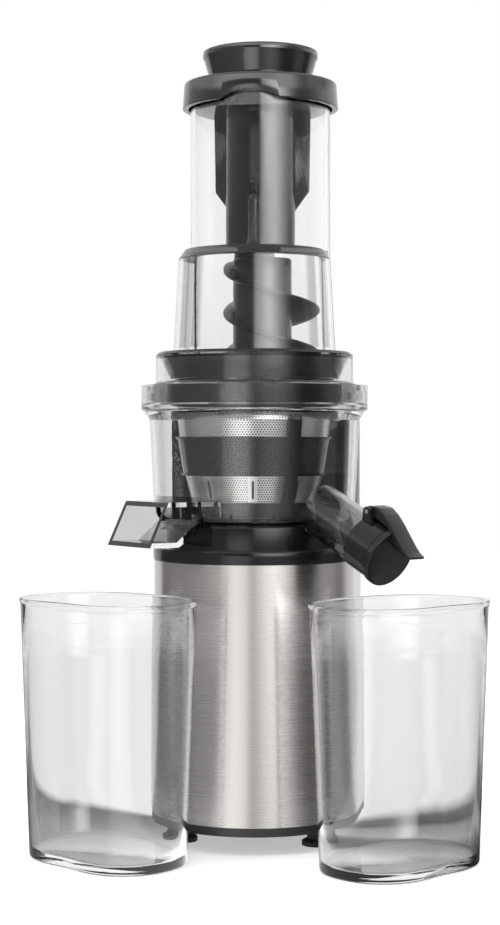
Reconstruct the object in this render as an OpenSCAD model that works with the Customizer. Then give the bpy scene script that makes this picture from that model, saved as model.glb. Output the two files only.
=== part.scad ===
// Vertical slow juicer: a motor base, a clear juicing bowl with its strainer and auger,
// a clear feeding chute with a pusher, and two collecting cups.
// The origin is on the table, in the middle of the footprint of the whole set. +Z is up, -Y is the front.
// Lengths are millimetres and angles are degrees.

/* [Frame] */
// Auger axis, sideways from the origin
axis_x = -7.5; // [-10:0.5:-5]
// Auger axis, front to back from the origin
axis_y = 11; // [10:0.5:20]

/* [Base] */
// Radius of both round ends of the steel sleeve
base_r = 58; // [57:0.5:60]
// Distance between the centres of the two round ends
base_back = 38; // [34:1:44]
// Height of the sleeve's lower edge above the table
sleeve_z = 15.4; // [15:0.2:18]
// Height of the sleeve's upper edge above the table
deck_z = 159.7; // [158:0.1:161]
// Thickness of the steel sleeve
sleeve_wall = 1.2; // [0.8:0.1:1.4]
// Height of the black collar on the sleeve
collar_h = 7.6; // [7:0.2:8]
// Radius of the round seat that the bowl stands on
seat_r = 50; // [48:0.5:51]
// Height of the bowl's seat above the collar
seat_h = 13.7; // [13:0.1:14.5]
// Height of the rear column's top above the table
column_top_z = 241; // [230:1:243]
// Radius of the rubber feet
foot_r = 9; // [7:0.5:10]
// Height from the table to the underside of the base pan
foot_h = 10.4; // [9:0.2:11]

/* [Drive] */
// Radius of the drive shaft
shaft_r = 6; // [5.6:0.1:6.4]
// Teeth on both pinions
pinion_teeth = 10; // [10:1:12]
// Teeth on both large gears
wheel_teeth = 50; // [46:1:52]
// Module of the motor pinion and the gear that it turns
fast_module = 0.8; // [0.76:0.01:0.82]
// Module of the slow pair, at the drive shaft
slow_module = 1; // [0.95:0.01:1.02]
// Radius of the motor's can
motor_r = 32; // [30:0.5:33]
// Distance from the auger axis back to the motor's axis
motor_back = 19; // [18:0.5:20]

/* [Bowl] */
// Outside radius of the bowl near its floor
bowl_low_r = 58; // [57:0.5:59]
// Outside radius of the bowl below its rim
bowl_high_r = 60.6; // [60:0.2:61]
// Outside radius of the bowl's rim
rim_r = 65.4; // [65:0.2:67]
// Height of the rim's lower edge above the table
rim_z = 246; // [245:0.5:247]
// Height of the rim's upper edge above the table
rim_top_z = 260; // [259:0.5:261]
// Thickness of the clear walls
clear_wall = 2.6; // [2.2:0.1:2.8]

/* [Strainer] */
// Outside radius of the steel sieve at its lower edge
sieve_low_r = 36; // [35:0.5:36.5]
// Outside radius of the steel sieve at its upper edge
sieve_high_r = 45.3; // [44.5:0.1:45.6]
// Thickness of the steel sieve
sieve_wall = 0.8; // [0.5:0.1:1]
// Number of ribs between the rings of the strainer frame
rib_count = 2; // [2:1:4]

/* [Auger] */
// Height that one flight climbs in a full turn
flight_lead = 50; // [44:1:56]
// Radius of the auger's core at its upper end
core_top_r = 17; // [15:0.5:17.5]
// How far the upper core stands off the axis
core_off = 4.6; // [0:0.2:4.8]
// Radius of the off-centre circle that the upper flights reach
flight_cam_r = 28; // [26:0.5:28]
// Distance of that circle's centre from the axis
flight_cam_off = 10; // [8:0.5:10]

/* [Chute] */
// Outside radius of the feeding chute
chute_r = 41.3; // [40.5:0.1:41.6]
// Distance from the auger axis back to the chute's axis
chute_back = 24; // [23:0.5:25]
// Height of the chute's upper edge above the table
chute_top_z = 435.5; // [425:0.5:440]
// Outside radius of the hopper's flange
flange_r = 57; // [56:0.5:57.5]
// Height of the hopper flange's upper face above the table
flange_top_z = 279; // [278:0.5:280]
// Height of the hopper's shoulder above the table
shoulder_z = 333; // [330:1:336]

/* [Pusher] */
// Radius of the pusher's column
column_r = 19.5; // [18:0.5:19.5]
// Height of the pusher column's lower end above the table
column_low_z = 341.5; // [340:0.5:345]
// Radius of the pusher's knob
knob_r = 34; // [32:0.5:35]
// Height of the pusher's knob above the chute
knob_h = 22; // [20:0.5:24]
// Reach of the pusher's right fin from the chute's axis
fin_reach = 30.3; // [28:0.1:31]

/* [Juice spout] */
// Direction of the spout, anticlockwise from +X
spout_turn = -39; // [-44:1:-34]
// Slope of the spout below the level
spout_slope = 25; // [22:1:28]
// Distance from the auger axis to the middle of the cap's face
spout_reach = 108; // [104:1:112]
// Height of the middle of the cap's face above the table
spout_z = 164.7; // [162:0.5:168]
// Outside radius of the spout's clear tube
spout_r = 14.5; // [13.5:0.1:14.6]

/* [Pulp spout] */
// Direction of the pulp spout, anticlockwise from +X
pulp_turn = 223; // [218:1:228]
// Outside width of the pulp spout
pulp_w = 45; // [40:1:46]

/* [Cups] */
// Height of both cups
cup_h = 142; // [130:1:143]
// Length of a cup's rim
cup_long = 106; // [96:1:110]
// Width of a cup's rim
cup_wide = 78; // [70:1:80]
// Size of a cup's floor as a share of its rim
cup_taper = 0.89; // [0.8:0.01:0.94]
// Thickness of a cup's wall
cup_wall = 2.2; // [1.6:0.1:2.6]
// Thickness of a cup's floor
cup_floor = 5; // [3:0.5:6]
// Juice cup's centre, to the right of the auger axis
juice_cup_x = 89.2; // [86:0.2:94]
// Juice cup's centre, in front of the auger axis
juice_cup_front = 69; // [67:0.2:74]
// Pulp cup's centre, to the left of the auger axis
pulp_cup_x = 70.2; // [69:0.2:76]
// Pulp cup's centre, in front of the auger axis
pulp_cup_front = 75; // [74:0.2:80]

/* [Hidden] */

$fn = 96;
running = 0.05;   // radial gap of a shaft in its bearing
gap = 0.3;        // gap between parts that are put together by hand
cut = 1;          // how far a cutting solid runs past a face

// Colours
c_steel = "silver";
c_dark_steel = "dimgray";
c_black = "#232326";
c_clear = [0.85, 0.88, 0.9, 0.35];
c_rubber = "#1a1a1a";
c_silicone = "#b8b8b4";
c_copper = "#b87333";
c_nylon = "ivory";
c_board = "darkgreen";

// Heights of the base
pan_z = foot_h;
pan_floor_z = pan_z + 2.6;
pan_wall_top_z = sleeve_z + 6.6;
collar_top_z = deck_z + collar_h;
seat_z = collar_top_z + seat_h;
deck_plate = 3.8;
seat_wall = 2.6;
pan_r = base_r - 0.4;
inner_r = base_r - sleeve_wall - gap;
inner_wall = 2;
collar_r = base_r + 0.5;
back_y = base_back + base_r;

// Posts that the base screws run into, and the feet
post_x = 22;
post_y = 45;
post_r = 4;
post_bore_r = 1.7;
post_bore_h = 20;
screw_r = 1.6;
screw_head_r = 3.4;
screw_head_h = 1.4;
slot_long = 3.6;
slot_w = 0.8;
slot_deep = 1.4;
foot_x = 39;
foot_y = 20;
foot_stem_r = 2.8;
foot_bead_r = 4.5;
vent_w = 3;
vent_long = 30;
vent_step = 7;

// Heights of the drive
fan_z = 17;
fan_h = 9;
fan_r = 26;
fan_blades = 9;
can_z = 30;
can_top_z = 103;
case_z = 106;
case_floor = 4;
case_top_z = 140;
cover_h = 4;
screw_bite = 10;
fast_z = 113.5;
fast_h = 8;
slow_z = 124;
slow_h = 12;
pinion_extra = 1;

// Motor
fan_hub_r = fan_r / 3;
fan_disc_t = 1.6;
blade_t = 1.6;
motor_shaft_r = 4;
motor_tip_r = 2;
can_wall = 1.5;
bush_r = 8;
stator_in_r = 23.5;
rotor_r = 22.5;
stator_z = 41;
stator_h = 50;
rotor_slots = 12;
stator_slots = 8;

// Gear train: the idler's axis lies where the two centre distances meet
fast_reach = fast_module * (pinion_teeth + wheel_teeth) / 2;
slow_reach = slow_module * (pinion_teeth + wheel_teeth) / 2;
fast_web_r = 0.3 * fast_module * wheel_teeth;
slow_web_r = 0.32 * slow_module * wheel_teeth;
idler_y = (slow_reach * slow_reach - fast_reach * fast_reach + motor_back * motor_back) / (2 * motor_back);
idler_x = -sqrt(slow_reach * slow_reach - idler_y * idler_y);
pressure_angle = 20;
addendum = 0.9;
dedendum = 1.15;
backlash = 0.15;
flank_steps = 3;
idler_r = 3;
case_drive_r = 31;
case_idler_r = 25;
case_wall = 2.5;
lug_r = 4.5;
lug_h = 4;
lug_reach = case_drive_r + 3.6;
lug_idler_reach = case_idler_r + 3.6;
lug_turns = [-60, -120, 34];
lug_idler_turn = 125;
case_lugs = concat(
    [for (turn = lug_turns) lug_reach * [cos(turn), sin(turn)]],
    [[idler_x, idler_y] + lug_idler_reach * [cos(lug_idler_turn), sin(lug_idler_turn)]]
);
// Angle from the idler's axis to each neighbour, for turning the teeth into mesh
idler_to_drive = atan2(-idler_y, -idler_x);
idler_to_motor = atan2(motor_back - idler_y, -idler_x);

// Drive shaft and its bearings
drive_low_z = 108;
journal_r = 5;
drive_bush_r = 8.5;
hex_z = seat_z + 11;
hex_top_z = hex_z + 30;
bearing_r = 14;
bearing_z = 151;
bearing_h = 8;
boss_low_z = 149;
boss_r = 18;
seal_r = 12;
seal_z = seat_z - 7;
seal_h = 6;

// Switch, board and gland on the back of the base
switch_z = 116;
switch_w = 24;
switch_h = 31;
switch_deep = 16;
switch_face_y = back_y + 1.4;
rocker_w = 13;
rocker_h = 18;
rocker_pivot_r = 1.5;
rocker_tilt = 8;
cavity_h = 22;
board_y = 68;
board_w = 56;
board_z = 40;
board_h = 50;
board_t = 1.6;
choke_h = 14;
choke_deep = 10;
relay_h = 10;
relay_deep = 8;
capacitor_r = 5;
capacitor_long = 11;
parts_low_z = board_z + 9;
capacitor_z = board_z + 34;
rail_w = 6;
gland_z = 32;
gland_r = 6;
gland_bore_r = 3.6;
gland_lip_r = gland_r + 2;
gland_lip_t = 2.6;

// Bowl
bowl_floor_z = seat_z + 3;
bowl_round = 8;
bowl_wall_top_z = rim_z - 6;
boss_out_r = 13;
boss_in_r = 9;
boss_top_z = bowl_floor_z + 13;
rim_in_r = rim_r - 2.8;
hook_count = 4;
hook_turn = 26;
hook_r = rim_in_r - 2;

// Strainer
basket_r = 37.3;
basket_wall = 2.8;
flight_gap = 1.2;
basket_floor = 2;
basket_top_z = bowl_floor_z + 9;
band_low_z = 208.3;
band_top_z = 230.3;
band_bead = 1.2;
sieve_top_z = rim_z + 2;
pulp_hole_w = 30;
pulp_hole_h = 5;
rib_deep = 1.4;
rib_turn = -52;
rib_w = 8.2;
frame_lip_z = rim_top_z + 2;

// Auger
auger_z = bowl_floor_z + 4;
auger_low_r = basket_r - basket_wall - flight_gap;
flight_top_z = 331;
flight_root_t = 3.4;
flight_tip_t = 1.8;
flight_steps = 30;
flight_in = 0.7;
flight_low_z = auger_z + 6;
cam_low_z = 258;
cam_high_z = 276;
flight_pass_turn = 180;
flight_pass_z = 328.8;
short_flight_top_z = 309;
upper_core_z = 268;
recess_r = 15.5;
insert_r = 11;
insert_z = boss_top_z + 3;
insert_h = 25;
finger_r = 3.7;
finger_top_z = 372;

// Hopper
hopper_wall = 2.5;
skirt_r = 58.6;
skirt_z = rim_top_z - 10;
cone_low_r = 47;
cone_top_r = 44;
shoulder_h = 5;
tab_turn = 26;
tab_r = rim_in_r - 0.4;
tab_h = 4;
chute_floor = 2.5;
flange_in_z = flange_top_z - hopper_wall;
flange_in_r = flange_r - hopper_wall;
ring_in_r = cone_low_r - 0.8;
ring_low_z = frame_lip_z + 1.6;
ring_low_w = 2.4;
magnet_r = 2.4;
magnet_h = 3.6;
magnet_z = flange_in_z - magnet_h - 0.4;
magnet_y = ring_in_r + 3.1;

// Pusher
skirt_out_r = 46;
skirt_h = 12;
cap_plate = 3;
plug_r = 37.6;
plug_h = 14;
groove_r = 5.6;
groove_top_z = 378;
fin_t = 3;
fin_left_reach = fin_reach - 2.6;
fin_draft = 0.9;
fin_right_low = fin_reach - fin_draft;
fin_left_low = fin_left_reach - fin_draft;
fin_low_z = 374.8;
fin_slope = 1.1;
fin_root = column_r - 2;
notch_half = 18;
notch_h = 5;
notch_r = (notch_half * notch_half + notch_h * notch_h) / (2 * notch_h);

// Spout cap, in the spout's own directions
tube_back = spout_reach / cos(spout_slope) - bowl_low_r;
tube_end = 5;
ring_back = 21;
ring_r = 15.6;
cap_r = 16.6;
cap_h = 4;
hinge_back = 20;
hinge_up = 18.8;
hinge_r = 3;
pin_r = 1.2;
lever_w = 11.6;
ear_w = 2.2;

// Pulp spout, as distances from the auger axis
duct_in = 38;
duct_top_z = bowl_floor_z + 10.2;
duct_low_z = collar_top_z + 2.2;
duct_top_reach = 73;
duct_low_reach = 85;

// Cups
cup_sides = 48;
cup_bulge = 2.4;
cup_dent = 0.13;
cup_dent_turn = 34;
cup_round = 1.5;
cup_lip = 0.5;
cup_lip_h = 3;
pulp_cup_turn = -36;
juice_cup_turn = 52.6;

// ---------- shared shapes ----------

// Everything is drawn about the auger axis and then put in the frame
module on_axis() {
    translate([axis_x, axis_y, 0]) children();
}

// Plan of the base: two round ends joined by straight sides
module base_plan(r) {
    circle(r);
    translate([0, base_back]) circle(r);
    translate([-r, 0]) square([2 * r, base_back]);
}

module base_slab(r, z, top_z) {
    translate([0, 0, z]) linear_extrude(top_z - z) base_plan(r);
}

module base_ring(r, wall, z, top_z) {
    translate([0, 0, z]) linear_extrude(top_z - z) difference() {
        base_plan(r);
        base_plan(r - wall);
    }
}

// Upright cylinder between two heights
module rod(r, z, top_z) {
    translate([0, 0, z]) cylinder(r = r, h = top_z - z);
}

module tube(r, bore_r, z, top_z) {
    difference() {
        rod(r, z, top_z);
        rod(bore_r, z - cut, top_z + cut);
    }
}

// Solid of revolution from a list of [radius, height]
module turned(points) {
    rotate_extrude() polygon(points);
}

// Part of a turned ring, from one angle over a sweep
module turned_arc(points, from, sweep) {
    rotate([0, 0, from]) rotate_extrude(angle = sweep) polygon(points);
}

// The four places of the posts, and the four places of the feet
module at_posts() {
    for (x = [-post_x, post_x], y = [-post_y, base_back + post_y]) translate([x, y, 0]) children();
}

module at_feet() {
    for (x = [-foot_x, foot_x], y = [-foot_y, base_back + foot_y]) translate([x, y, 0]) children();
}

module at_lugs() {
    for (p = case_lugs) translate([p[0], p[1], 0]) children();
}

module at_motor() {
    translate([0, motor_back, 0]) children();
}

module at_idler() {
    translate([idler_x, idler_y, 0]) children();
}

module at_chute() {
    translate([0, chute_back, 0]) children();
}

// Gear teeth: involute flanks in a few straight steps
function involute_turn(base, r) = r <= base ? 0 : sqrt(r * r / (base * base) - 1) * 180 / PI - acos(base / r);

function tooth_half(teeth, base, pitch, r) =
    90 / teeth - backlash / 2 / pitch * 180 / PI + involute_turn(base, pitch) - involute_turn(base, r);

function gear_points(size, teeth) = let (
    pitch = size * teeth / 2,
    base = pitch * cos(pressure_angle),
    root = pitch - dedendum * size,
    tip = pitch + addendum * size
) [
    for (t = [0 : teeth - 1], side = [-1, 1], k = [0 : flank_steps]) let (
        step = side < 0 ? k : flank_steps - k,
        r = root + (tip - root) * step / flank_steps,
        turn = 360 * t / teeth + side * tooth_half(teeth, base, pitch, r)
    ) [r * cos(turn), r * sin(turn)]
];

module gear(size, teeth, z, h) {
    translate([0, 0, z]) linear_extrude(h) polygon(gear_points(size, teeth));
}

// Skin through a stack of closed rings that have the same number of points
module loft(rings) {
    sides = len(rings[0]);
    last = len(rings) - 1;
    points = [for (ring = rings) each ring];
    bottom = [[for (i = [0 : sides - 1]) i]];
    top = [[for (i = [sides - 1 : -1 : 0]) last * sides + i]];
    walls = [for (k = [0 : last - 1], i = [0 : sides - 1]) let (
        low = k * sides,
        high = low + sides,
        j = (i + 1) % sides
    ) each [[low + i, high + j, low + j], [low + i, high + i, high + j]]];
    polyhedron(points, concat(bottom, walls, top));
}

// ---------- base ----------

// Brushed steel sleeve, open at both ends, with a window for the switch and a hole for the gland
module base_shell() {
    color(c_steel) on_axis() difference() {
        base_ring(base_r, sleeve_wall, sleeve_z, deck_z);
        translate([-switch_w / 2 - gap, back_y - switch_deep, switch_z - switch_h / 2 - gap])
            cube([switch_w + 2 * gap, 2 * switch_deep, switch_h + 2 * gap]);
        translate([0, back_y - 2 * gland_r, gland_z]) rotate([-90, 0, 0])
            cylinder(r = gland_r + gap, h = 4 * gland_r);
    }
}

// Pan that closes the base from below, with slots for the cooling air and rails for the board
module base_bottom() {
    color(c_black) on_axis() {
        difference() {
            union() {
                base_slab(pan_r, pan_z, pan_floor_z);
                base_ring(pan_r, pan_r - inner_r + inner_wall, pan_floor_z, sleeve_z);
                base_ring(inner_r, inner_wall, sleeve_z, pan_wall_top_z);
                for (x = [-1, 1]) board_rail(x);
            }
            at_posts() rod(screw_r + 0.2, pan_z - cut, pan_floor_z + cut);
            at_posts() rod(screw_head_r + 0.4, pan_z - cut, pan_z + screw_head_h);
            at_feet() rod(foot_stem_r + gap, pan_z - cut, pan_floor_z + cut);
            for (k = [-3 : 3]) translate([k * vent_step - vent_w / 2, motor_back - vent_long / 2, pan_z - cut])
                cube([vent_w, vent_long, 5]);
        }
    }
}

module board_rail(side) {
    x = side * (board_w / 2 + 0.4);
    rail_h = board_z + 8 - pan_floor_z;
    difference() {
        translate([x - rail_w / 2, board_y - rail_w / 2, pan_floor_z]) cube([rail_w, rail_w, rail_h]);
        translate([-board_w / 2 - gap, board_y - board_t / 2 - gap, board_z - gap])
            cube([board_w + 2 * gap, board_t + 2 * gap, board_h]);
    }
}

// Four suction feet, each with a stem through the pan and a bead that holds it
module rubber_feet() {
    color(c_rubber) on_axis() at_feet() rotate_extrude() polygon([
        [0, 1.2], [foot_r - 3, 1.2], [foot_r - 2.4, 0], [foot_r, 0], [foot_r, 2.4], [foot_r - 3, 4],
        [foot_r - 3.4, pan_z], [foot_stem_r, pan_z], [foot_stem_r, pan_floor_z], [foot_bead_r, pan_floor_z],
        [foot_stem_r, pan_floor_z + 2.4], [0, pan_floor_z + 2.4]
    ]);
}

// Four long screws from below into the posts of the deck
module base_screws() {
    color(c_steel) on_axis() at_posts() difference() {
        union() {
            rod(screw_head_r, pan_z + 0.2, pan_z + screw_head_h);
            rod(screw_r, pan_z + screw_head_h, pan_floor_z + post_bore_h - 2);
        }
        for (turn = [0, 90]) translate([0, 0, pan_z]) rotate([0, 0, turn])
            cube([slot_long, slot_w, slot_deep], center = true);
    }
}

// Black collar, deck and round seat, with the posts and bosses that hang from the deck
module top_deck() {
    color(c_black) on_axis() difference() {
        union() {
            base_slab(collar_r, collar_top_z - deck_plate, collar_top_z);
            base_ring(collar_r, collar_r - inner_r + inner_wall, deck_z, collar_top_z - deck_plate);
            base_ring(inner_r, inner_wall, deck_z - 7, deck_z);
            rod(seat_r, collar_top_z, seat_z);
            rod(boss_r, boss_low_z, collar_top_z);
            at_posts() rod(post_r, pan_floor_z, collar_top_z - deck_plate);
            for (p = case_lugs) translate([p[0], p[1], 0]) rod(lug_r, case_top_z + cover_h, lug_boss_top(p));
        }
        difference() {
            rod(seat_r - seat_wall, collar_top_z - deck_plate - cut, seat_z - seat_wall);
            rod(boss_r, boss_low_z, seat_z);
            at_lugs() rod(lug_r, case_top_z, seat_z);
        }
        rod(bearing_r + running, boss_low_z - cut, bearing_z + bearing_h);
        rod(shaft_r + 4, bearing_z, seal_z + cut);
        rod(seal_r + running, seal_z, seat_z + cut);
        at_posts() rod(post_bore_r, pan_floor_z - cut, pan_floor_z + post_bore_h);
        at_lugs() rod(post_bore_r, case_top_z, case_top_z + cover_h + screw_bite + 2);
    }
}

// A boss under the hollow seat runs up to the seat, and one beside it stops at the deck
function lug_boss_top(p) = norm(p) < seat_r - seat_wall ? seat_z - seat_wall : collar_top_z - deck_plate;

// Plan of the column: the back of the base, less the space that the bowl turns and lifts in
module column_plan(out_r, bowl_space_r) {
    difference() {
        translate([0, base_back]) circle(out_r);
        circle(bowl_space_r);
    }
}

module rear_column() {
    out_r = base_r - 0.5;
    in_r = bowl_high_r + 1.2;
    wall = 2.6;
    color(c_black) on_axis() difference() {
        translate([0, 0, collar_top_z]) linear_extrude(column_top_z - collar_top_z) column_plan(out_r, in_r);
        translate([0, 0, collar_top_z - cut]) linear_extrude(column_top_z - collar_top_z - wall + cut)
            column_plan(out_r - wall, in_r + wall);
    }
}

// Switch in the top of the column that the hopper's magnet closes
module interlock_switch() {
    w = 14;
    deep = 9;
    h = 20;
    top_z = column_top_z - 2.6;
    color("darkred") on_axis() {
        difference() {
            translate([-w / 2, base_back + 30, top_z - h]) cube([w, deep, h]);
            translate([-w / 2 - cut, base_back + 34, top_z - h - cut]) cube([w + 2 * cut, deep, 5]);
        }
        for (x = [-4, 0, 4]) translate([x - 0.5, base_back + 31.5, top_z - h - 5]) cube([1, 1, 5]);
    }
}

// ---------- motor ----------

module motor_can() {
    color(c_dark_steel) on_axis() at_motor() difference() {
        turned([
            [bush_r + running, can_z - 3], [bush_r + 2.5, can_z - 3],
            [bush_r + 2.5, can_z], [motor_r - 2, can_z],
            [motor_r, can_z + 2], [motor_r, can_top_z], [motor_r - can_wall, can_top_z],
            [motor_r - can_wall, can_z + 3], [bush_r + running, can_z + 3]
        ]);
        for (turn = [0 : 45 : 315]) rotate([0, 0, turn])
            translate([bush_r + 8, -2, can_z - cut]) cube([9, 4, 6]);
    }
}

// Plate that closes the motor and carries the gearbox
module motor_cap() {
    color("gray") on_axis() at_motor() tube(motor_r, bush_r + running, can_top_z, case_z);
}

// Copper-wound core of the motor, fixed in the can
module stator() {
    color(c_copper) on_axis() at_motor() difference() {
        rod(motor_r - can_wall - gap, stator_z, stator_z + stator_h);
        rod(stator_in_r, stator_z - cut, stator_z + stator_h + cut);
        for (k = [0 : stator_slots - 1]) rotate([0, 0, k * 360 / stator_slots])
            translate([stator_in_r + 2, -2, stator_z - cut]) cube([3.5, 4, stator_h + 2 * cut]);
    }
}

// Two bushes that carry the motor's shaft
module motor_bushes() {
    color("darkgoldenrod") on_axis() at_motor() {
        tube(bush_r, motor_shaft_r + running, can_z - 3, can_z + 5);
        tube(bush_r, motor_shaft_r + running, case_z - 8, case_z);
    }
}

module motor_shaft() {
    color(c_steel) on_axis() at_motor() {
        rod(motor_shaft_r, fan_z, case_z + 0.5);
        rod(motor_tip_r, case_z + 0.5, fast_z + fast_h + pinion_extra);
    }
}

module motor_rotor() {
    color("darkgray") on_axis() at_motor() difference() {
        rod(rotor_r, stator_z + 1, stator_z + stator_h - 1);
        rod(motor_shaft_r + running, stator_z, stator_z + stator_h);
        for (k = [0 : rotor_slots - 1]) rotate([0, 0, k * 360 / rotor_slots])
            translate([rotor_r - 4, -0.8, stator_z]) cube([5, 1.6, stator_h]);
    }
}

module motor_pinion() {
    color(c_steel) on_axis() at_motor() difference() {
        rotate([0, 0, mesh_turn(idler_to_motor)])
            gear(fast_module, pinion_teeth, fast_z - pinion_extra, fast_h + 2 * pinion_extra);
        rod(motor_tip_r + running, fast_z - 2, fast_z + fast_h + 2);
    }
}

// Turn that puts a pinion's gap where the wheel's tooth points
// The wheel starts with a tooth on the line of centres
function mesh_turn(line) = line + 180 + 180 / pinion_teeth;

module cooling_fan() {
    color("white") on_axis() at_motor() difference() {
        union() {
            rod(fan_hub_r, fan_z, fan_z + fan_h);
            rod(fan_r, fan_z + fan_h - fan_disc_t, fan_z + fan_h);
            for (k = [0 : fan_blades - 1]) rotate([0, 0, k * 360 / fan_blades])
                translate([fan_hub_r - 1, -blade_t / 2, fan_z]) cube([fan_r - fan_hub_r, blade_t, fan_h - 1]);
        }
        rod(motor_shaft_r + running, fan_z - cut, fan_z + fan_h + cut);
    }
}

// ---------- gearbox ----------

module gearbox_plan(extra) {
    circle(case_drive_r + extra);
    translate([idler_x, idler_y]) circle(case_idler_r + extra);
}

// Open-topped case that the motor is fixed under
module gearbox_case() {
    color(c_nylon) on_axis() difference() {
        union() {
            translate([0, 0, case_z]) linear_extrude(case_top_z - case_z) gearbox_plan(0);
            at_lugs() rod(lug_r, case_top_z - lug_h, case_top_z);
        }
        translate([0, 0, case_z + case_floor]) linear_extrude(case_top_z - case_z) gearbox_plan(-case_wall);
        rod(drive_bush_r + running, case_z - cut, case_z + case_floor + cut);
        at_idler() rod(idler_r + running, case_z + 1, case_z + case_floor + cut);
        at_motor() rod(motor_shaft_r + 1, case_z - cut, case_z + case_floor + cut);
        at_lugs() rod(screw_r + 0.2, case_top_z - lug_h - cut, case_top_z + cut);
    }
}

module gearbox_cover() {
    color(c_nylon) on_axis() difference() {
        union() {
            translate([0, 0, case_top_z]) linear_extrude(cover_h) gearbox_plan(0);
            at_lugs() rod(lug_r, case_top_z, case_top_z + cover_h);
        }
        rod(shaft_r + 2, case_top_z - cut, case_top_z + cover_h + cut);
        at_idler() rod(idler_r + running, case_top_z - cut, case_top_z + cover_h + cut);
        at_lugs() rod(screw_r + 0.2, case_top_z - cut, case_top_z + cover_h + cut);
    }
}

// Screws from below through the case and its cover into the deck's bosses
module gearbox_screws() {
    head_z = case_top_z - lug_h;
    color(c_steel) on_axis() at_lugs() {
        rod(screw_head_r, head_z - 2, head_z);
        rod(screw_r, head_z, case_top_z + cover_h + screw_bite);
    }
}

module idler_shaft() {
    color(c_steel) on_axis() at_idler() {
        rod(idler_r, case_z + 1.2, case_top_z + cover_h - 0.4);
        rotate([0, 0, mesh_turn(idler_to_drive + 180)])
            gear(slow_module, pinion_teeth, slow_z - pinion_extra, slow_h + 2 * pinion_extra);
    }
}

module idler_gear() {
    color(c_nylon) on_axis() at_idler() difference() {
        union() {
            rotate([0, 0, idler_to_motor]) gear(fast_module, wheel_teeth, fast_z, fast_h);
            rod(idler_r + 3, case_z + case_floor + 0.5, fast_z + fast_h);
        }
        rod(idler_r + running, case_z, fast_z + fast_h + cut);
        for (turn = [0 : 60 : 300]) rotate([0, 0, turn]) translate([fast_web_r, 0, 0])
            rod(3.2, fast_z - cut, fast_z + fast_h + cut);
    }
}

module output_gear() {
    color(c_nylon) on_axis() difference() {
        union() {
            rotate([0, 0, idler_to_drive + 180]) gear(slow_module, wheel_teeth, slow_z, slow_h);
            rod(shaft_r + 4, slow_z, slow_z + slow_h + 3);
        }
        rod(shaft_r + running, slow_z - cut, slow_z + slow_h + 4);
        for (turn = [0 : 60 : 300]) rotate([0, 0, turn]) translate([slow_web_r, 0, 0])
            rod(4, slow_z - cut, slow_z + slow_h + cut);
    }
}

// Shaft with a journal below, a round middle and a hexagonal end for the auger
module drive_shaft() {
    color(c_steel) on_axis() {
        rod(journal_r, drive_low_z, slow_z - 6);
        rod(shaft_r, slow_z - 6, hex_z);
        translate([0, 0, hex_z]) cylinder(r = shaft_r, h = hex_top_z - hex_z, $fn = 6);
    }
}

module drive_bush() {
    color("darkgoldenrod") on_axis() tube(drive_bush_r, journal_r + running, case_z, case_z + 8);
}

module drive_bearing() {
    color(c_steel) on_axis() turned([
        [shaft_r + running, bearing_z], [shaft_r + 2.5, bearing_z], [shaft_r + 3, bearing_z + 1],
        [bearing_r - 3, bearing_z + 1], [bearing_r - 2.5, bearing_z], [bearing_r, bearing_z],
        [bearing_r, bearing_z + bearing_h], [bearing_r - 2.5, bearing_z + bearing_h],
        [bearing_r - 3, bearing_z + bearing_h - 1], [shaft_r + 3, bearing_z + bearing_h - 1],
        [shaft_r + 2.5, bearing_z + bearing_h], [shaft_r + running, bearing_z + bearing_h]
    ]);
}

module shaft_seal() {
    color(c_silicone) on_axis() tube(seal_r, shaft_r + running, seal_z, seal_z + seal_h);
}

// ---------- electrics ----------

// Circuit board that stands behind the motor, with its larger components
module control_board() {
    front_y = board_y - board_t / 2;
    rear_y = board_y + board_t / 2;
    color(c_board) on_axis() {
        translate([-board_w / 2, front_y, board_z]) cube([board_w, board_t, board_h]);
        translate([-20, rear_y, parts_low_z]) cube([16, choke_deep, choke_h]);
        translate([2, rear_y, parts_low_z]) cube([18, relay_deep, relay_h]);
        for (x = [-12, 10]) translate([x, rear_y, capacitor_z]) rotate([-90, 0, 0])
            cylinder(r = capacitor_r, h = capacitor_long);
    }
}

module at_switch() {
    translate([0, switch_face_y - rocker_h / 4, switch_z]) children();
}

// Frame of the power switch, a block behind the sleeve with a cavity for the rocker
module switch_bezel() {
    color(c_black) on_axis() difference() {
        translate([-switch_w / 2, switch_face_y - switch_deep, switch_z - switch_h / 2])
            cube([switch_w, switch_deep, switch_h]);
        translate([-rocker_w / 2 - gap, switch_face_y - switch_deep + 3, switch_z - cavity_h / 2])
            cube([rocker_w + 2 * gap, switch_deep, cavity_h]);
        at_switch() rotate([0, 90, 0])
            cylinder(r = rocker_pivot_r + running, h = rocker_w + 7, center = true);
    }
}

// Rocker at rest in its off position, with its two pivot pins
module switch_rocker() {
    half = rocker_h / 2;
    face = rocker_h / 4;
    color(c_rubber) on_axis() at_switch() {
        rotate([-rocker_tilt, 0, 0]) translate([-rocker_w / 2, 0, 0]) rotate([90, 0, 90])
            linear_extrude(rocker_w) polygon([
                [-face, -half / 3], [face / 2, -half], [face, -half + 1], [face - 1, 0],
                [face, half - 1], [face / 2, half], [-face, half / 3]
            ]);
        rotate([0, 90, 0]) cylinder(r = rocker_pivot_r, h = rocker_w + 6, center = true);
    }
}

// Inlet for the mains lead, low on the back
module cord_gland() {
    color(c_rubber) on_axis() translate([0, back_y, gland_z]) rotate([-90, 0, 0]) difference() {
        union() {
            translate([0, 0, -4]) cylinder(r = gland_r, h = 8);
            translate([0, 0, 0.6]) cylinder(r = gland_lip_r, h = gland_lip_t + 0.8);
            translate([0, 0, -gland_lip_t - 2.8]) cylinder(r = gland_lip_r, h = gland_lip_t);
        }
        translate([0, 0, -6]) cylinder(r = gland_bore_r, h = 12);
    }
}

// ---------- bowl ----------

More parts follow.
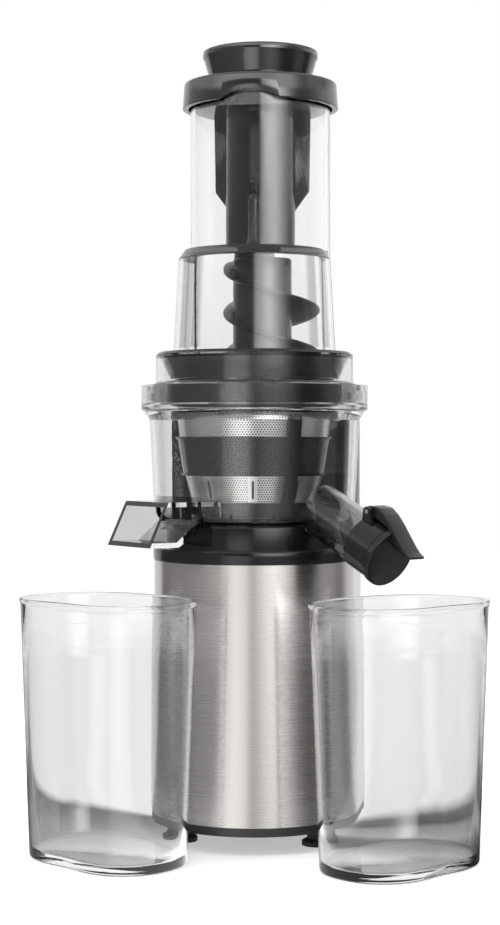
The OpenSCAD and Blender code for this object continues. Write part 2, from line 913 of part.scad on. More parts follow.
// Points along a round corner, for a profile of [radius, height]
function corner(r, z, size, from, to, steps = 6) = [
    for (k = [0 : steps]) let (turn = from + (to - from) * k / steps)
        [r + size * cos(turn), z + size * sin(turn)]
];

bowl_low_in_r = bowl_low_r - clear_wall;
bowl_high_in_r = bowl_high_r - clear_wall;
bowl_in_round = bowl_round - clear_wall;

// Places the spout's directions: Z along the tube and outwards, -X up across it
module on_spout() {
    rotate([0, 0, spout_turn]) translate([spout_reach, 0, spout_z]) rotate([0, 90 + spout_slope, 0])
        children();
}

// Space inside the bowl, up to just under its rim
module bowl_space() {
    turned(concat(
        [[0, bowl_floor_z]],
        corner(bowl_low_in_r - bowl_in_round, bowl_floor_z + bowl_in_round, bowl_in_round, -90, 0),
        [[bowl_high_in_r, bowl_wall_top_z], [0, bowl_wall_top_z]]
    ));
}

// Side view of the pulp spout, as [distance from the axis, height], drawn across its width
module duct_side(points, w) {
    rotate([0, 0, pulp_turn]) rotate([90, 0, 0]) linear_extrude(w, center = true) polygon(points);
}

duct_outside = [
    [duct_in, seat_z + cut], [duct_in, duct_top_z], [duct_top_reach, duct_top_z], [duct_low_reach, duct_low_z],
    [seat_r + 16, duct_low_z], [seat_r + 6, duct_low_z + 7], [seat_r + 2, seat_z + cut]
];
duct_inside = [
    [duct_in - 4, bowl_floor_z - gap], [duct_in - 4, duct_top_z - clear_wall],
    [duct_low_reach + 6, duct_top_z - clear_wall], [duct_low_reach + 6, duct_low_z + clear_wall],
    [seat_r + 16.5, duct_low_z + clear_wall], [seat_r + 5.5, duct_low_z + 11.7], [seat_r, bowl_floor_z - gap]
];

// Clear bowl with a boss round the drive shaft, a juice spout and a pulp spout
module juice_bowl() {
    color(c_clear) on_axis() difference() {
        union() {
            turned(concat(
                [[boss_in_r, seat_z]],
                corner(bowl_low_r - bowl_round, seat_z + bowl_round, bowl_round, -90, 0),
                [
                    [bowl_high_r, bowl_wall_top_z], [rim_r - 2, rim_z - 1.2],
                    [rim_r, rim_z], [rim_r, rim_top_z],
                    [rim_in_r, rim_top_z], [rim_in_r, rim_z + 3.4], [bowl_high_in_r + 1, rim_z + 2.4],
                    [bowl_high_in_r, bowl_wall_top_z]
                ],
                corner(bowl_low_in_r - bowl_in_round, bowl_floor_z + bowl_in_round, bowl_in_round, 0, -90),
                [[boss_out_r, bowl_floor_z], [boss_out_r, boss_top_z], [boss_in_r, boss_top_z]]
            ));
            for (k = [0 : hook_count - 1]) turned_arc([
                [hook_r, rim_top_z - 3.5], [rim_in_r + 1, rim_top_z - 3.5], [rim_in_r + 1, rim_top_z - gap],
                [hook_r, rim_top_z - gap]
            ], k * 360 / hook_count - hook_turn / 2, hook_turn);
            difference() {
                on_spout() translate([0, 0, -tube_back]) cylinder(r = spout_r, h = tube_back - tube_end);
                bowl_space();
                rod(seat_r + 1.5, collar_top_z, seat_z + cut);
            }
            duct_side(duct_outside, pulp_w);
        }
        difference() {
            on_spout() translate([0, 0, -tube_back - spout_r])
                cylinder(r = spout_r - clear_wall + 0.2, h = tube_back + spout_r + cut);
            rod(bowl_low_in_r, collar_top_z, bowl_floor_z);
            rod(bowl_low_in_r - 12, collar_top_z, rim_z);
        }
        duct_side(duct_inside, pulp_w - 2 * clear_wall + 0.4);
    }
}

// Soft ring in the bowl's boss, round the drive shaft
module bowl_seal() {
    color(c_silicone) on_axis() tube(boss_in_r - running, shaft_r + 2 * running, seat_z + 3, hex_z - 2);
}

// Outer radius of the sieve at a height
sieve_line = [
    [basket_top_z, sieve_low_r], [band_low_z, sieve_low_r + 3.8],
    [band_top_z, sieve_high_r - 2.1], [sieve_top_z, sieve_high_r]
];
function sieve_at(z) = lookup(z, sieve_line);
sieve_heights = [for (p = sieve_line) p[0]];

// Closed outline between two offsets from the sieve's outer face, over a span of heights
function beside_sieve(in_off, out_off, z, top_z) = let (
    zs = [z, for (h = sieve_heights) if (h > z && h < top_z) h, top_z],
    n = len(zs)
) concat(
    [for (h = zs) [sieve_at(h) + out_off, h]],
    [for (k = [n - 1 : -1 : 0]) [sieve_at(zs[k]) + in_off, zs[k]]]
);

// Ribs between two rings of the strainer frame
module strainer_ribs(z, top_z) {
    side = beside_sieve(gap + 0.2, gap + rib_deep, z - 0.6, top_z + 0.6);
    for (k = [0 : rib_count - 1]) rotate([0, 0, rib_turn + k * 360 / rib_count]) rotate([90, 0, 0])
        linear_extrude(rib_w, center = true) polygon(side);
}

// Black frame of the strainer: basket, band and rim, joined by ribs
module strainer_frame() {
    color(c_black) on_axis() difference() {
        union() {
            turned([
                [boss_out_r + 1, bowl_floor_z], [basket_r, bowl_floor_z], [basket_r, basket_top_z],
                [basket_r - basket_wall, basket_top_z], [basket_r - basket_wall, bowl_floor_z + basket_floor],
                [boss_out_r + 1, bowl_floor_z + basket_floor]
            ]);
            turned(beside_sieve(gap, gap + 1, band_low_z, band_top_z));
            for (z = [band_low_z, band_top_z - band_bead])
                turned(beside_sieve(gap, gap + 2, z, z + band_bead));
            turned([
                [sieve_high_r + 0.4, rim_z], [sieve_high_r + 3.7, rim_z], [sieve_high_r + 5.2, rim_z + 3],
                [sieve_high_r + 5.2, frame_lip_z], [sieve_high_r, frame_lip_z],
                [sieve_high_r, sieve_top_z + gap], [sieve_high_r + 0.4, sieve_top_z + gap]
            ]);
            strainer_ribs(basket_top_z, band_low_z);
            strainer_ribs(band_top_z, rim_z);
        }
        rotate([0, 0, pulp_turn]) translate([basket_r - 12, -pulp_hole_w / 2, bowl_floor_z + basket_floor])
            cube([20, pulp_hole_w, pulp_hole_h]);
    }
}

// Steel sieve inside the frame, drawn as a plain thin shell
module strainer_mesh() {
    color(c_steel) on_axis() turned(beside_sieve(-sieve_wall, 0, basket_top_z, sieve_top_z));
}

// ---------- spout cap ----------

// Black ring clipped on the end of the tube, with two ears for the hinge pin
module spout_ring() {
    color(c_black) on_axis() on_spout() difference() {
        union() {
            translate([0, 0, -ring_back]) cylinder(r = ring_r, h = ring_back - tube_end);
            for (side = [-1, 1]) translate([0, side * (lever_w / 2 + gap + ear_w / 2), 0])
                rotate([90, 0, 0]) linear_extrude(ear_w, center = true) polygon(ear_side());
        }
        translate([0, 0, -ring_back - cut]) cylinder(r = spout_r + gap, h = ring_back);
        translate([-hinge_up, 0, -hinge_back]) rotate([90, 0, 0])
            cylinder(r = pin_r + running, h = lever_w + 3 * ear_w + 2, center = true);
    }
}

function ear_side() = concat(
    [for (turn = [90 : 15 : 270]) [-hinge_up + 2.6 * cos(turn), -hinge_back + 2.6 * sin(turn)]],
    [[-ring_r + 2, -hinge_back - 1], [-ring_r + 2, -hinge_back + 7]]
);

module cap_hinge_pin() {
    color(c_steel) on_axis() on_spout() translate([-hinge_up, 0, -hinge_back]) rotate([90, 0, 0])
        cylinder(r = pin_r, h = lever_w + 2 * ear_w + 2 * gap, center = true);
}

// Side view of the lever, as [-up, out], from its knuckle over the cap to its lip
lever_side = [
    [-hinge_up - 2.6, -hinge_back - 0.4], [-22.9, -17.4], [-23.1, -14.6], [-21.9, -9.6], [-19.2, -3.6],
    [-15.4, 3.2], [-12.2, 9], [-10.3, 13.4], [-9.6, 17], [-8.3, 16.8], [-8.2, 12.6], [-8.4, 7.6], [-9.2, 3],
    [-10, -0.5],
    [-12, -3.9], [-16.4, -3.9], [-17, -8], [-17.2, -15], [-hinge_up + 2.2, -hinge_back + 1.8]
];

// Cap with a knuckle on the pin and a lever that runs over its face to a lip
module spout_cap() {
    color(c_black) on_axis() on_spout() difference() {
        union() {
            translate([0, 0, -cap_h]) cylinder(r = cap_r, h = cap_h);
            rotate([90, 0, 0]) linear_extrude(lever_w, center = true) polygon(lever_side);
            translate([-hinge_up, 0, -hinge_back]) rotate([90, 0, 0])
                cylinder(r = hinge_r, h = lever_w, center = true);
        }
        translate([-hinge_up, 0, -hinge_back]) rotate([90, 0, 0])
            cylinder(r = pin_r + 0.1, h = lever_w + cut, center = true);
    }
}

// Soft disc on the back of the cap, against the tube's end
module cap_seal() {
    color(c_silicone) on_axis() on_spout() translate([0, 0, -tube_end])
        cylinder(r = spout_r, h = tube_end - cap_h);
}

// ---------- auger ----------

// Core of the auger as [height, radius], centred on the axis
core_line = [
    [auger_z + 4, 27], [215, 23], [250, 19], [262, core_top_r], [270, core_top_r - core_off],
    [flight_top_z, core_top_r - core_off]
];

// Radius that the flights keep inside the strainer, and above it the off-centre circle
function strainer_reach(z) =
    min(sieve_at(z) - sieve_wall - flight_gap, z < basket_top_z + 2 ? auger_low_r : sieve_high_r);
function cam_reach(turn) =
    flight_cam_off * cos(turn) + sqrt(flight_cam_r * flight_cam_r - pow(flight_cam_off * sin(turn), 2));
function ease(t) = let (s = min(max(t, 0), 1)) s * s * (3 - 2 * s);
function flight_reach(z, turn) = let (s = ease((z - cam_low_z) / (cam_high_z - cam_low_z)))
    (1 - s) * strainer_reach(z) + s * cam_reach(turn);

// One flight, wound down from its top
module flight(pass_z, top_z) {
    first = flight_pass_turn + (pass_z - top_z) * 360 / flight_lead;
    drop = top_z - flight_low_z;
    count = ceil(flight_steps * drop / flight_lead);
    loft([for (k = [0 : count]) let (
        z = top_z - drop * k / count,
        turn = first + (top_z - z) * 360 / flight_lead,
        tip_fade = min(1, k / 4),
        in_r = lookup(z, core_line) - flight_in,
        out_r = max(in_r + 2, flight_reach(z, turn) * tip_fade + (core_top_r + 1) * (1 - tip_fade))
    ) [
        for (p = [[in_r, -flight_root_t], [in_r, flight_root_t], [out_r, flight_tip_t], [out_r, -flight_tip_t]])
            [p[0] * cos(turn), p[0] * sin(turn), z + p[1] / 2]
    ]]);
}

// Neck that carries the finger, inside the upper core
neck_r = core_top_r - core_off - 0.6;

// Auger with a two-start screw, a tall tip, and a pocket for the metal insert
module auger() {
    color(c_dark_steel) on_axis() difference() {
        union() {
            turned(concat(
                [[0, auger_z], [auger_low_r, auger_z], [auger_low_r, auger_z + 4]],
                [for (p = core_line) [p[1], p[0]]],
                [[0, flight_top_z]]
            ));
            translate([core_off, 0, 0]) rod(core_top_r, upper_core_z, shoulder_z);
            turned([
                [0, flight_top_z - 2], [neck_r, flight_top_z - 2], [neck_r, shoulder_z + 1],
                [9, shoulder_z + 5], [5, shoulder_z + 7.6],
                [finger_r, finger_top_z - 5], [2.4, finger_top_z - 1.2], [0, finger_top_z]
            ]);
            flight(flight_pass_z, flight_top_z);
            flight(flight_pass_z - flight_lead / 2, short_flight_top_z);
        }
        rod(recess_r, auger_z - cut, boss_top_z + 2);
        rod(insert_r + running, boss_top_z, insert_z + insert_h);
    }
}

// Metal insert with the hexagonal hole that the drive shaft turns
module auger_hex_insert() {
    color(c_steel) on_axis() difference() {
        rod(insert_r, insert_z, insert_z + insert_h);
        translate([0, 0, insert_z - cut]) cylinder(r = shaft_r + 0.25, h = insert_h + 2 * cut, $fn = 6);
    }
}

// Soft ring in the auger's recess, round the bowl's boss
module auger_seal() {
    color(c_silicone) on_axis() tube(recess_r - running, boss_out_r + 2 * running, auger_z + 2, auger_z + 8);
}

// ---------- hopper ----------

// Clear hopper: a cone over the auger, a flange that locks in the bowl's rim, and the chute behind it
module hopper() {
    color(c_clear) on_axis() difference() {
        union() {
            turned([
                [0, skirt_z], [skirt_r, skirt_z], [skirt_r, rim_top_z + 0.4], [flange_r, rim_top_z + 2],
                [flange_r, flange_top_z - 1.5], [flange_r - 1.5, flange_top_z],
                [cone_low_r, flange_top_z], [cone_top_r, shoulder_z],
                [cone_top_r - 3.5, shoulder_z + shoulder_h], [0, shoulder_z + shoulder_h]
            ]);
            at_chute() rod(chute_r, flange_top_z, chute_top_z);
            for (k = [0 : hook_count - 1]) turned_arc([
                [skirt_r - 1, rim_top_z - 8.5], [tab_r, rim_top_z - 8.5],
                [tab_r, rim_top_z - 8.5 + tab_h], [skirt_r - 1, rim_top_z - 8.5 + tab_h]
            ], k * 360 / hook_count - tab_turn / 2, tab_turn);
        }
        turned([
            [0, skirt_z - cut], [skirt_r - hopper_wall, skirt_z - cut], [skirt_r - hopper_wall, rim_top_z],
            [flange_in_r, rim_top_z + 2], [flange_in_r, flange_in_z],
            [cone_low_r - hopper_wall, flange_in_z], [cone_top_r - hopper_wall, shoulder_z],
            [cone_top_r - 6, shoulder_z + shoulder_h - hopper_wall], [0, shoulder_z + shoulder_h - hopper_wall]
        ]);
        at_chute() rod(chute_r - hopper_wall, flange_top_z + chute_floor, chute_top_z + cut);
    }
}

// Black cone inside the hopper's flange, with a pocket for the magnet at the back
module hopper_ring() {
    color(c_black) on_axis() difference() {
        turned([
            [ring_in_r, ring_low_z], [ring_in_r + ring_low_w, ring_low_z],
            [flange_in_r - 0.6, flange_in_z - 1.6], [flange_in_r - 0.6, flange_in_z],
            [ring_in_r, flange_in_z]
        ]);
        translate([0, magnet_y, 0]) rod(magnet_r + running, magnet_z, flange_in_z + cut);
    }
}

// Magnet in the black cone, for the interlock switch
module interlock_magnet() {
    color("gray") on_axis() translate([0, magnet_y, 0]) rod(magnet_r, magnet_z, magnet_z + magnet_h);
}

// ---------- pusher ----------

// Knob, skirt and plug of the pusher, which hang on the chute's edge
module pusher_knob() {
    cap_z = chute_top_z + cap_plate;
    color(c_black) on_axis() difference() {
        at_chute() turned([
            [column_r - 2.5, chute_top_z - plug_h], [plug_r, chute_top_z - plug_h], [plug_r, chute_top_z],
            [chute_r + 1.3, chute_top_z], [chute_r + 1.3, chute_top_z - skirt_h],
            [skirt_out_r, chute_top_z - skirt_h], [skirt_out_r, cap_z - 1], [skirt_out_r - 1, cap_z],
            [knob_r - 4.8, cap_z], [knob_r - 0.5, chute_top_z + knob_h - 5.2],
            [knob_r, chute_top_z + knob_h - 4.4],
            [knob_r, chute_top_z + knob_h - 1.2], [knob_r - 1.2, chute_top_z + knob_h],
            [knob_r - 5, chute_top_z + knob_h], [knob_r - 7, chute_top_z + knob_h - 2],
            [0, chute_top_z + knob_h - 2],
            [0, chute_top_z + knob_h - 5], [knob_r - 7, chute_top_z + knob_h - 5],
            [knob_r - 7, chute_top_z - plug_h + 3], [column_r - 2.5, chute_top_z - plug_h + 3]
        ]);
        translate([0, chute_back - chute_r - 1, chute_top_z - skirt_h + notch_h - notch_r]) rotate([90, 0, 0])
            cylinder(r = notch_r, h = skirt_out_r);
    }
}

// Height at which a fin's slanted lower end meets the column
function fin_root_z(low_reach) = fin_low_z - fin_slope * (low_reach - fin_root);

// Hollow column below the plug, with two fins and a groove for the auger's tip
module pusher_column() {
    top_z = chute_top_z - plug_h;
    color(c_black) on_axis() difference() {
        union() {
            at_chute() rod(column_r, column_low_z, top_z);
            at_chute() rotate([90, 0, 0]) linear_extrude(fin_t, center = true) polygon([
                [-fin_left_reach, top_z], [-fin_left_low, fin_low_z], [-fin_root, fin_root_z(fin_left_low)],
                [fin_root, fin_root_z(fin_right_low)], [fin_right_low, fin_low_z], [fin_reach, top_z]
            ]);
        }
        difference() {
            at_chute() rod(column_r - 2.5, column_low_z + 3, top_z + cut);
            rod(groove_r + 2.5, column_low_z, groove_top_z + 2.5);
        }
        rod(groove_r, column_low_z - cut, groove_top_z);
    }
}

// ---------- cups ----------

// Rounded kidney outline: its long round side faces +Y, and a shallow hollow faces away from it
function cup_ring(half_long, half_wide, z) = [
    for (k = [0 : cup_sides - 1]) let (
        turn = 360 * k / cup_sides,
        along = pow(abs(cos(turn)) / half_long, cup_bulge),
        across = pow(abs(sin(turn)) / half_wide, cup_bulge),
        flat = pow(along + across, -1 / cup_bulge),
        away = (turn - 270) / cup_dent_turn,
        r = flat * (1 - cup_dent * exp(-away * away))
    ) [r * cos(turn), r * sin(turn), z]
];

function cup_level(z, out) = let (share = cup_taper + (1 - cup_taper) * z / cup_h)
    cup_ring(cup_long / 2 * share + out, cup_wide / 2 * share + out, z);

// Up the outside, over the lip, and down the inside to the floor
module cup() {
    lip_z = cup_h - cup_lip_h;
    loft([
        cup_level(0, -cup_round),
        for (z = [cup_round, cup_h / 3, cup_h * 2 / 3, lip_z - cup_lip]) cup_level(z, 0),
        cup_level(lip_z, cup_lip),
        cup_level(cup_h, cup_lip),
        for (z = [cup_h, cup_h * 2 / 3, cup_h / 3, cup_floor + cup_round]) cup_level(z, -cup_wall),
        cup_level(cup_floor, -cup_wall - cup_round)
    ]);
}

module juice_cup() {
    color(c_clear) on_axis() translate([juice_cup_x, -juice_cup_front, 0]) rotate([0, 0, juice_cup_turn])
        cup();
}

module pulp_cup() {
    color(c_clear) on_axis() translate([-pulp_cup_x, -pulp_cup_front, 0]) rotate([0, 0, pulp_cup_turn])
        cup();
}

// ---------- drawing ----------

base_shell();
base_bottom();
rubber_feet();
base_screws();
top_deck();
rear_column();
interlock_switch();
motor_can();
motor_cap();
stator();
motor_bushes();
gearbox_case();
gearbox_cover();
gearbox_screws();
drive_bearing();
drive_bush();
shaft_seal();
control_board();
switch_bezel();
cord_gland();
motor_shaft();
motor_rotor();
motor_pinion();
cooling_fan();
idler_shaft();
idler_gear();
output_gear();
drive_shaft();
switch_rocker();
juice_bowl();
bowl_seal();
strainer_frame();
strainer_mesh();
spout_ring();
cap_hinge_pin();
spout_cap();
cap_seal();
auger();
auger_hex_insert();
auger_seal();
hopper();
hopper_ring();
interlock_magnet();
pusher_knob();
pusher_column();
juice_cup();
pulp_cup();
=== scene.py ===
import math

import bmesh
import bpy
from mathutils import Matrix, Vector


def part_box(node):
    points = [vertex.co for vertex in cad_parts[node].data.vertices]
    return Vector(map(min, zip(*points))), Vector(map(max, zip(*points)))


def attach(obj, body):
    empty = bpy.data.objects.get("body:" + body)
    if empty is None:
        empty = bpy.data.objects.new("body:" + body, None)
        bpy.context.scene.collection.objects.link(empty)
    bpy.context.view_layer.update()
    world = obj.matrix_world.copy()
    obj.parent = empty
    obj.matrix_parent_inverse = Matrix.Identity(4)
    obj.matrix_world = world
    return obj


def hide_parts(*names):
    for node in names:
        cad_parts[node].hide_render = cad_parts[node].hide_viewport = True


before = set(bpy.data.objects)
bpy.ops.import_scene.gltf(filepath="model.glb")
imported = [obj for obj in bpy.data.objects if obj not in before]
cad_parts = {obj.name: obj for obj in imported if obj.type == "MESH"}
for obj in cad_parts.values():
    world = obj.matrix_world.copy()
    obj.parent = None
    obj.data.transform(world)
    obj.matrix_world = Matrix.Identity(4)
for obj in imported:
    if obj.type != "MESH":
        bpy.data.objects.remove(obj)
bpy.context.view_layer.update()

bl_info = {
    "name": "Slow juicer dressing",
    "version": (1, 0, 0),
    "blender": (4, 5, 0),
    "location": "3D View > Sidebar > Juicer",
    "description": "Softened pieces, finishes and a plain studio for a vertical slow juicer",
    "category": "Object",
}

MM = 0.001
# Distance in metres within which points count as one
DOUBLES = 2e-6


def middle(node):
    low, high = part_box(node)
    return (low + high) / 2


def extent(node, axis):
    low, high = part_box(node)
    return low[axis], high[axis]


AXIS = middle("drive_shaft")
CHUTE_AXIS = middle("pusher_knob")


# ---------- sizes and colours ----------


def length(name, text, metres):
    return bpy.props.FloatProperty(name=name, description=text, default=metres, unit="LENGTH")


def colour_of(name, text, colour):
    return bpy.props.FloatVectorProperty(name=name, description=text, default=colour, size=3, subtype="COLOR")


class JuicerSizes(bpy.types.PropertyGroup):
    """Sizes of the pieces that are modelled here"""

    knob_radius: length("Knob radius", "Radius of the pusher's knob", 0.034)
    skirt_radius: length("Skirt radius", "Outside radius of the pusher's skirt", 0.046)
    stem_radius: length("Stem radius", "Radius of the pusher's column", 0.0205)
    fin_reach: length("Fin reach", "Half the width across the pusher's two fins", 0.0292)
    seat_radius: length("Seat radius", "Radius of the round seat under the bowl", 0.05)
    collar_radius: length("Collar radius", "Radius of the black collar on the sleeve", 0.0585)
    flight_lead: length("Flight lead", "Height that a flight climbs in a full turn", 0.05)
    cup_long: length("Cup length", "Length of a cup's rim", 0.106)
    cup_wide: length("Cup width", "Width of a cup's rim", 0.078)
    cup_wall: length("Cup wall", "Thickness of a cup's wall", 0.0022)
    hole_pitch: length("Hole pitch", "Distance between the sieve's holes", 0.0015)


class JuicerColours(bpy.types.PropertyGroup):
    """Colours of the finishes"""

    black: colour_of("Black", "Gloss black plastic", (0.009, 0.009, 0.0105))
    matt_black: colour_of("Matt black", "Textured black plastic", (0.022, 0.022, 0.023))
    steel: colour_of("Steel", "Brushed steel sleeve", (0.5, 0.48, 0.462))
    clear: colour_of("Clear", "Clear plastic", (0.965, 0.97, 0.975))
    # Painted shade that darkens clear plastic where its wall is seen along its length
    painted_edge_shade: colour_of("Clear edge", "Clear plastic seen along its wall", (0.1, 0.1, 0.105))
    resin: colour_of("Resin", "Dark grey resin of the auger", (0.022, 0.023, 0.026))
    rubber: colour_of("Rubber", "Rubber of the feet", (0.02, 0.02, 0.02))


class JuicerStudio(bpy.types.PropertyGroup):
    """Camera and light"""

    distance: length("Distance", "From the auger's axis to the camera", 1.1)
    turn: bpy.props.FloatProperty(
        name="Turn", description="Camera's angle round the juicer from its front", default=math.radians(8.5),
        subtype="ANGLE"
    )
    height: length("Height", "Camera's height above the table", 0.2286)
    aside: length("Aside", "How far the camera stands left of the auger's axis", 0.0026)
    lens: bpy.props.FloatProperty(
        name="Lens", description="Focal length on a 36 mm sensor, in millimetres", default=73.95
    )
    ambient: bpy.props.FloatProperty(
        name="Ambient", description="Strength of the light from all round", default=0.75
    )


def sizes():
    return bpy.context.scene.juicer_sizes


def colours():
    return bpy.context.scene.juicer_colours


# ---------- modelling helpers ----------


def place(x, y, z):
    """A point given in millimetres from the auger's axis and the table"""
    return Vector((AXIS.x + x * MM, AXIS.y + y * MM, z * MM))


def leave_edit():
    if bpy.context.mode != "OBJECT":
        bpy.ops.object.mode_set(mode="OBJECT")


def select_none():
    leave_edit()
    bpy.ops.object.select_all(action="DESELECT")


def take(piece):
    """Selects one piece alone and makes it active"""
    select_none()
    piece.select_set(True)
    bpy.context.view_layer.objects.active = piece


def edit(piece):
    take(piece)
    bpy.ops.object.mode_set(mode="EDIT")


def pick_behind(piece, y):
    """Selects the vertices that lie behind a plane, in edit mode"""
    bpy.ops.mesh.select_all(action="DESELECT")
    bpy.ops.mesh.select_mode(type="VERT")
    shape = bmesh.from_edit_mesh(piece.data)
    for corner in shape.verts:
        if corner.co.y > y:
            corner.select_set(True)
    shape.select_flush_mode()
    bmesh.update_edit_mesh(piece.data)


def start(name):
    """Names the primitive that was just added and settles its place into its mesh"""
    piece = bpy.context.object
    piece.name = name
    piece.data.name = name
    bpy.ops.object.transform_apply(location=True, rotation=True, scale=True)
    return piece


def settle(piece, angle=35):
    """Merges doubles, turns the faces outwards and smooths the gentle edges"""
    edit(piece)
    bpy.ops.mesh.select_all(action="SELECT")
    bpy.ops.mesh.remove_doubles(threshold=DOUBLES)
    bpy.ops.mesh.normals_make_consistent(inside=False)
    leave_edit()
    bpy.ops.object.transform_apply(location=True, rotation=True, scale=True)
    bpy.ops.object.shade_smooth_by_angle(angle=math.radians(angle))
    return piece


def apply_modifier(piece, kind, **settings):
    take(piece)
    modifier = piece.modifiers.new(kind.title(), kind)
    for key, value in settings.items():
        setattr(modifier, key, value)
    bpy.ops.object.modifier_apply(modifier=modifier.name)


def soften_edges(piece, width, segments=2):
    """Bevels the sharp edges by a width in metres"""
    apply_modifier(
        piece, "BEVEL", width=width, segments=segments, limit_method="ANGLE", angle_limit=math.radians(50)
    )


def cut_away(piece, tool):
    """Cuts one closed piece out of another and removes the tool"""
    apply_modifier(piece, "BOOLEAN", operation="DIFFERENCE", object=tool, solver="EXACT")
    bpy.data.objects.remove(tool)


def join_on(piece, other):
    """Makes one closed piece of two that overlap"""
    apply_modifier(piece, "BOOLEAN", operation="UNION", object=other, solver="EXACT")
    bpy.data.objects.remove(other)


def softened(points, steps=4):
    """Closed outline in which each point with a third number, its radius, becomes a small arc"""
    line = []
    count = len(points)
    for i, point in enumerate(points):
        corner = Vector(point[:2])
        radius = point[2] if len(point) > 2 else 0
        if not radius:
            line.append(corner)
            continue
        before = Vector(points[i - 1][:2]) - corner
        after = Vector(points[(i + 1) % count][:2]) - corner
        half = before.angle(after) / 2
        reach = min(radius / math.tan(half), 0.48 * before.length, 0.48 * after.length)
        first = corner + before.normalized() * reach
        last = corner + after.normalized() * reach
        for k in range(steps + 1):
            t = k / steps
            line.append((1 - t) ** 2 * first + 2 * t * (1 - t) * corner + t * t * last)
    return line


def outline(name, points):
    """Closed chain of edges in the plane of X and Z, in millimetres, extruded point by point and merged"""
    select_none()
    bpy.ops.mesh.primitive_plane_add(size=MM, location=(points[0][0] * MM, 0, points[0][1] * MM))
    piece = start(name)
    bpy.ops.object.mode_set(mode="EDIT")
    bpy.ops.mesh.select_all(action="SELECT")
    bpy.ops.mesh.merge(type="CENTER")
    for here, there in zip(points, points[1:] + points[:1]):
        step = ((there[0] - here[0]) * MM, 0, (there[1] - here[1]) * MM)
        bpy.ops.mesh.extrude_region_move(TRANSFORM_OT_translate={"value": step})
    bpy.ops.mesh.select_all(action="SELECT")
    bpy.ops.mesh.remove_doubles(threshold=DOUBLES)
    bpy.ops.mesh.select_all(action="SELECT")
    return piece


def turned(name, points, centre, sides=96):
    """Profile of (radius, height, rounding) spun about an upright axis through a centre"""
    piece = outline(name, softened(points))
    bpy.ops.mesh.spin(steps=sides, angle=math.tau, center=(0, 0, 0), axis=(0, 0, 1))
    leave_edit()
    piece.data.transform(Matrix.Translation(Vector((centre[0], centre[1], 0))))
    return settle(piece)


def slab(name, points, thick, steps, rounding, segments=2):
    """Outline in X and Z filled and thickened evenly to both sides in Y, with softened edges"""
    piece = outline(name, softened(points, steps))
    bpy.ops.mesh.edge_face_add()
    bpy.ops.mesh.extrude_region_move(TRANSFORM_OT_translate={"value": (0, thick * MM, 0)})
    bpy.ops.mesh.select_all(action="SELECT")
    bpy.ops.transform.translate(value=(0, -thick * MM / 2, 0))
    bpy.ops.mesh.normals_make_consistent(inside=False)
    leave_edit()
    soften_edges(piece, rounding * MM, segments)
    return piece


def cylinder(name, sides, radius, depth, where, lying=False):
    """Closed cylinder round a point, upright or lying along Y"""
    select_none()
    tilt = (math.radians(90) if lying else 0, 0, 0)
    bpy.ops.mesh.primitive_cylinder_add(vertices=sides, radius=radius, depth=depth, rotation=tilt, location=where)
    return start(name)


def stacked(name, rings):
    """Closed piece made of rings of points, extruded one after another from a filled first ring"""
    select_none()
    bpy.ops.mesh.primitive_circle_add(vertices=len(rings[0]), radius=0.03, fill_type="NGON", location=(0, 0, 0))
    piece = start(name)
    bpy.ops.object.mode_set(mode="EDIT")
    bpy.ops.mesh.select_mode(type="FACE")
    bpy.ops.mesh.select_all(action="SELECT")
    for k, ring in enumerate(rings):
        if k:
            bpy.ops.mesh.extrude_region()
        shape = bmesh.from_edit_mesh(piece.data)
        face = next(face for face in shape.faces if face.select)
        for corner, point in zip(face.verts, ring):
            corner.co = point
        bmesh.update_edit_mesh(piece.data)
    leave_edit()
    return piece


def dress(piece, body, slot, material, *nodes):
    """Gives a finished piece its body and finish, and hides the CAD nodes that it stands for; its slot is not used"""
    piece.data.materials.clear()
    piece.data.materials.append(material)
    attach(piece, body)
    if nodes:
        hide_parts(*nodes)


# ---------- shader helpers ----------


def new_node(tree, kind, **settings):
    node = tree.nodes.new(kind)
    for key, value in settings.items():
        setattr(node, key, value)
    return node


def feed(tree, source, target):
    """Gives an input a number, a tuple, a socket or a node's first output"""
    if isinstance(source, (int, float, tuple)):
        target.default_value = source
    else:
        tree.links.new(source.outputs[0] if hasattr(source, "outputs") else source, target)


def maths(tree, operation, *values):
    """Math node whose inputs are numbers or sockets"""
    node = new_node(tree, "ShaderNodeMath", operation=operation)
    for k, value in enumerate(values):
        feed(tree, value, node.inputs[k])
    return node.outputs[0]


def times(tree, first, second):
    return maths(tree, "MULTIPLY", first, second)


def vector_maths(tree, operation, vector, *other):
    """Vector math node between a vector and three numbers, if there are any"""
    node = new_node(tree, "ShaderNodeVectorMath", operation=operation)
    feed(tree, vector, node.inputs[0])
    if other:
        node.inputs[1].default_value = other
    return node.outputs["Value" if operation in ("LENGTH", "DOT_PRODUCT") else "Vector"]


def split(tree, vector):
    """X, Y and Z of a vector"""
    node = new_node(tree, "ShaderNodeSeparateXYZ")
    feed(tree, vector, node.inputs[0])
    return node.outputs


def noise(tree, vector, scale, detail):
    node = new_node(tree, "ShaderNodeTexNoise")
    node.inputs["Detail"].default_value = detail
    feed(tree, vector, node.inputs["Vector"])
    feed(tree, scale, node.inputs["Scale"])
    return node


def blend(tree, factor, first, second, kind="MIX", sort="RGBA"):
    """Mix of two colours, or of two values where the sort is FLOAT"""
    mix = new_node(tree, "ShaderNodeMix", data_type=sort, blend_type=kind)
    feed(tree, factor, mix.inputs["Factor"])
    feed(tree, first, mix.inputs["A"])
    feed(tree, second, mix.inputs["B"])
    return mix.outputs["Result"]


def glow(tree, kind, colour, strength):
    """Emission or background of a colour and a strength"""
    node = new_node(tree, kind)
    feed(tree, colour, node.inputs["Color"])
    feed(tree, strength, node.inputs["Strength"])
    return node


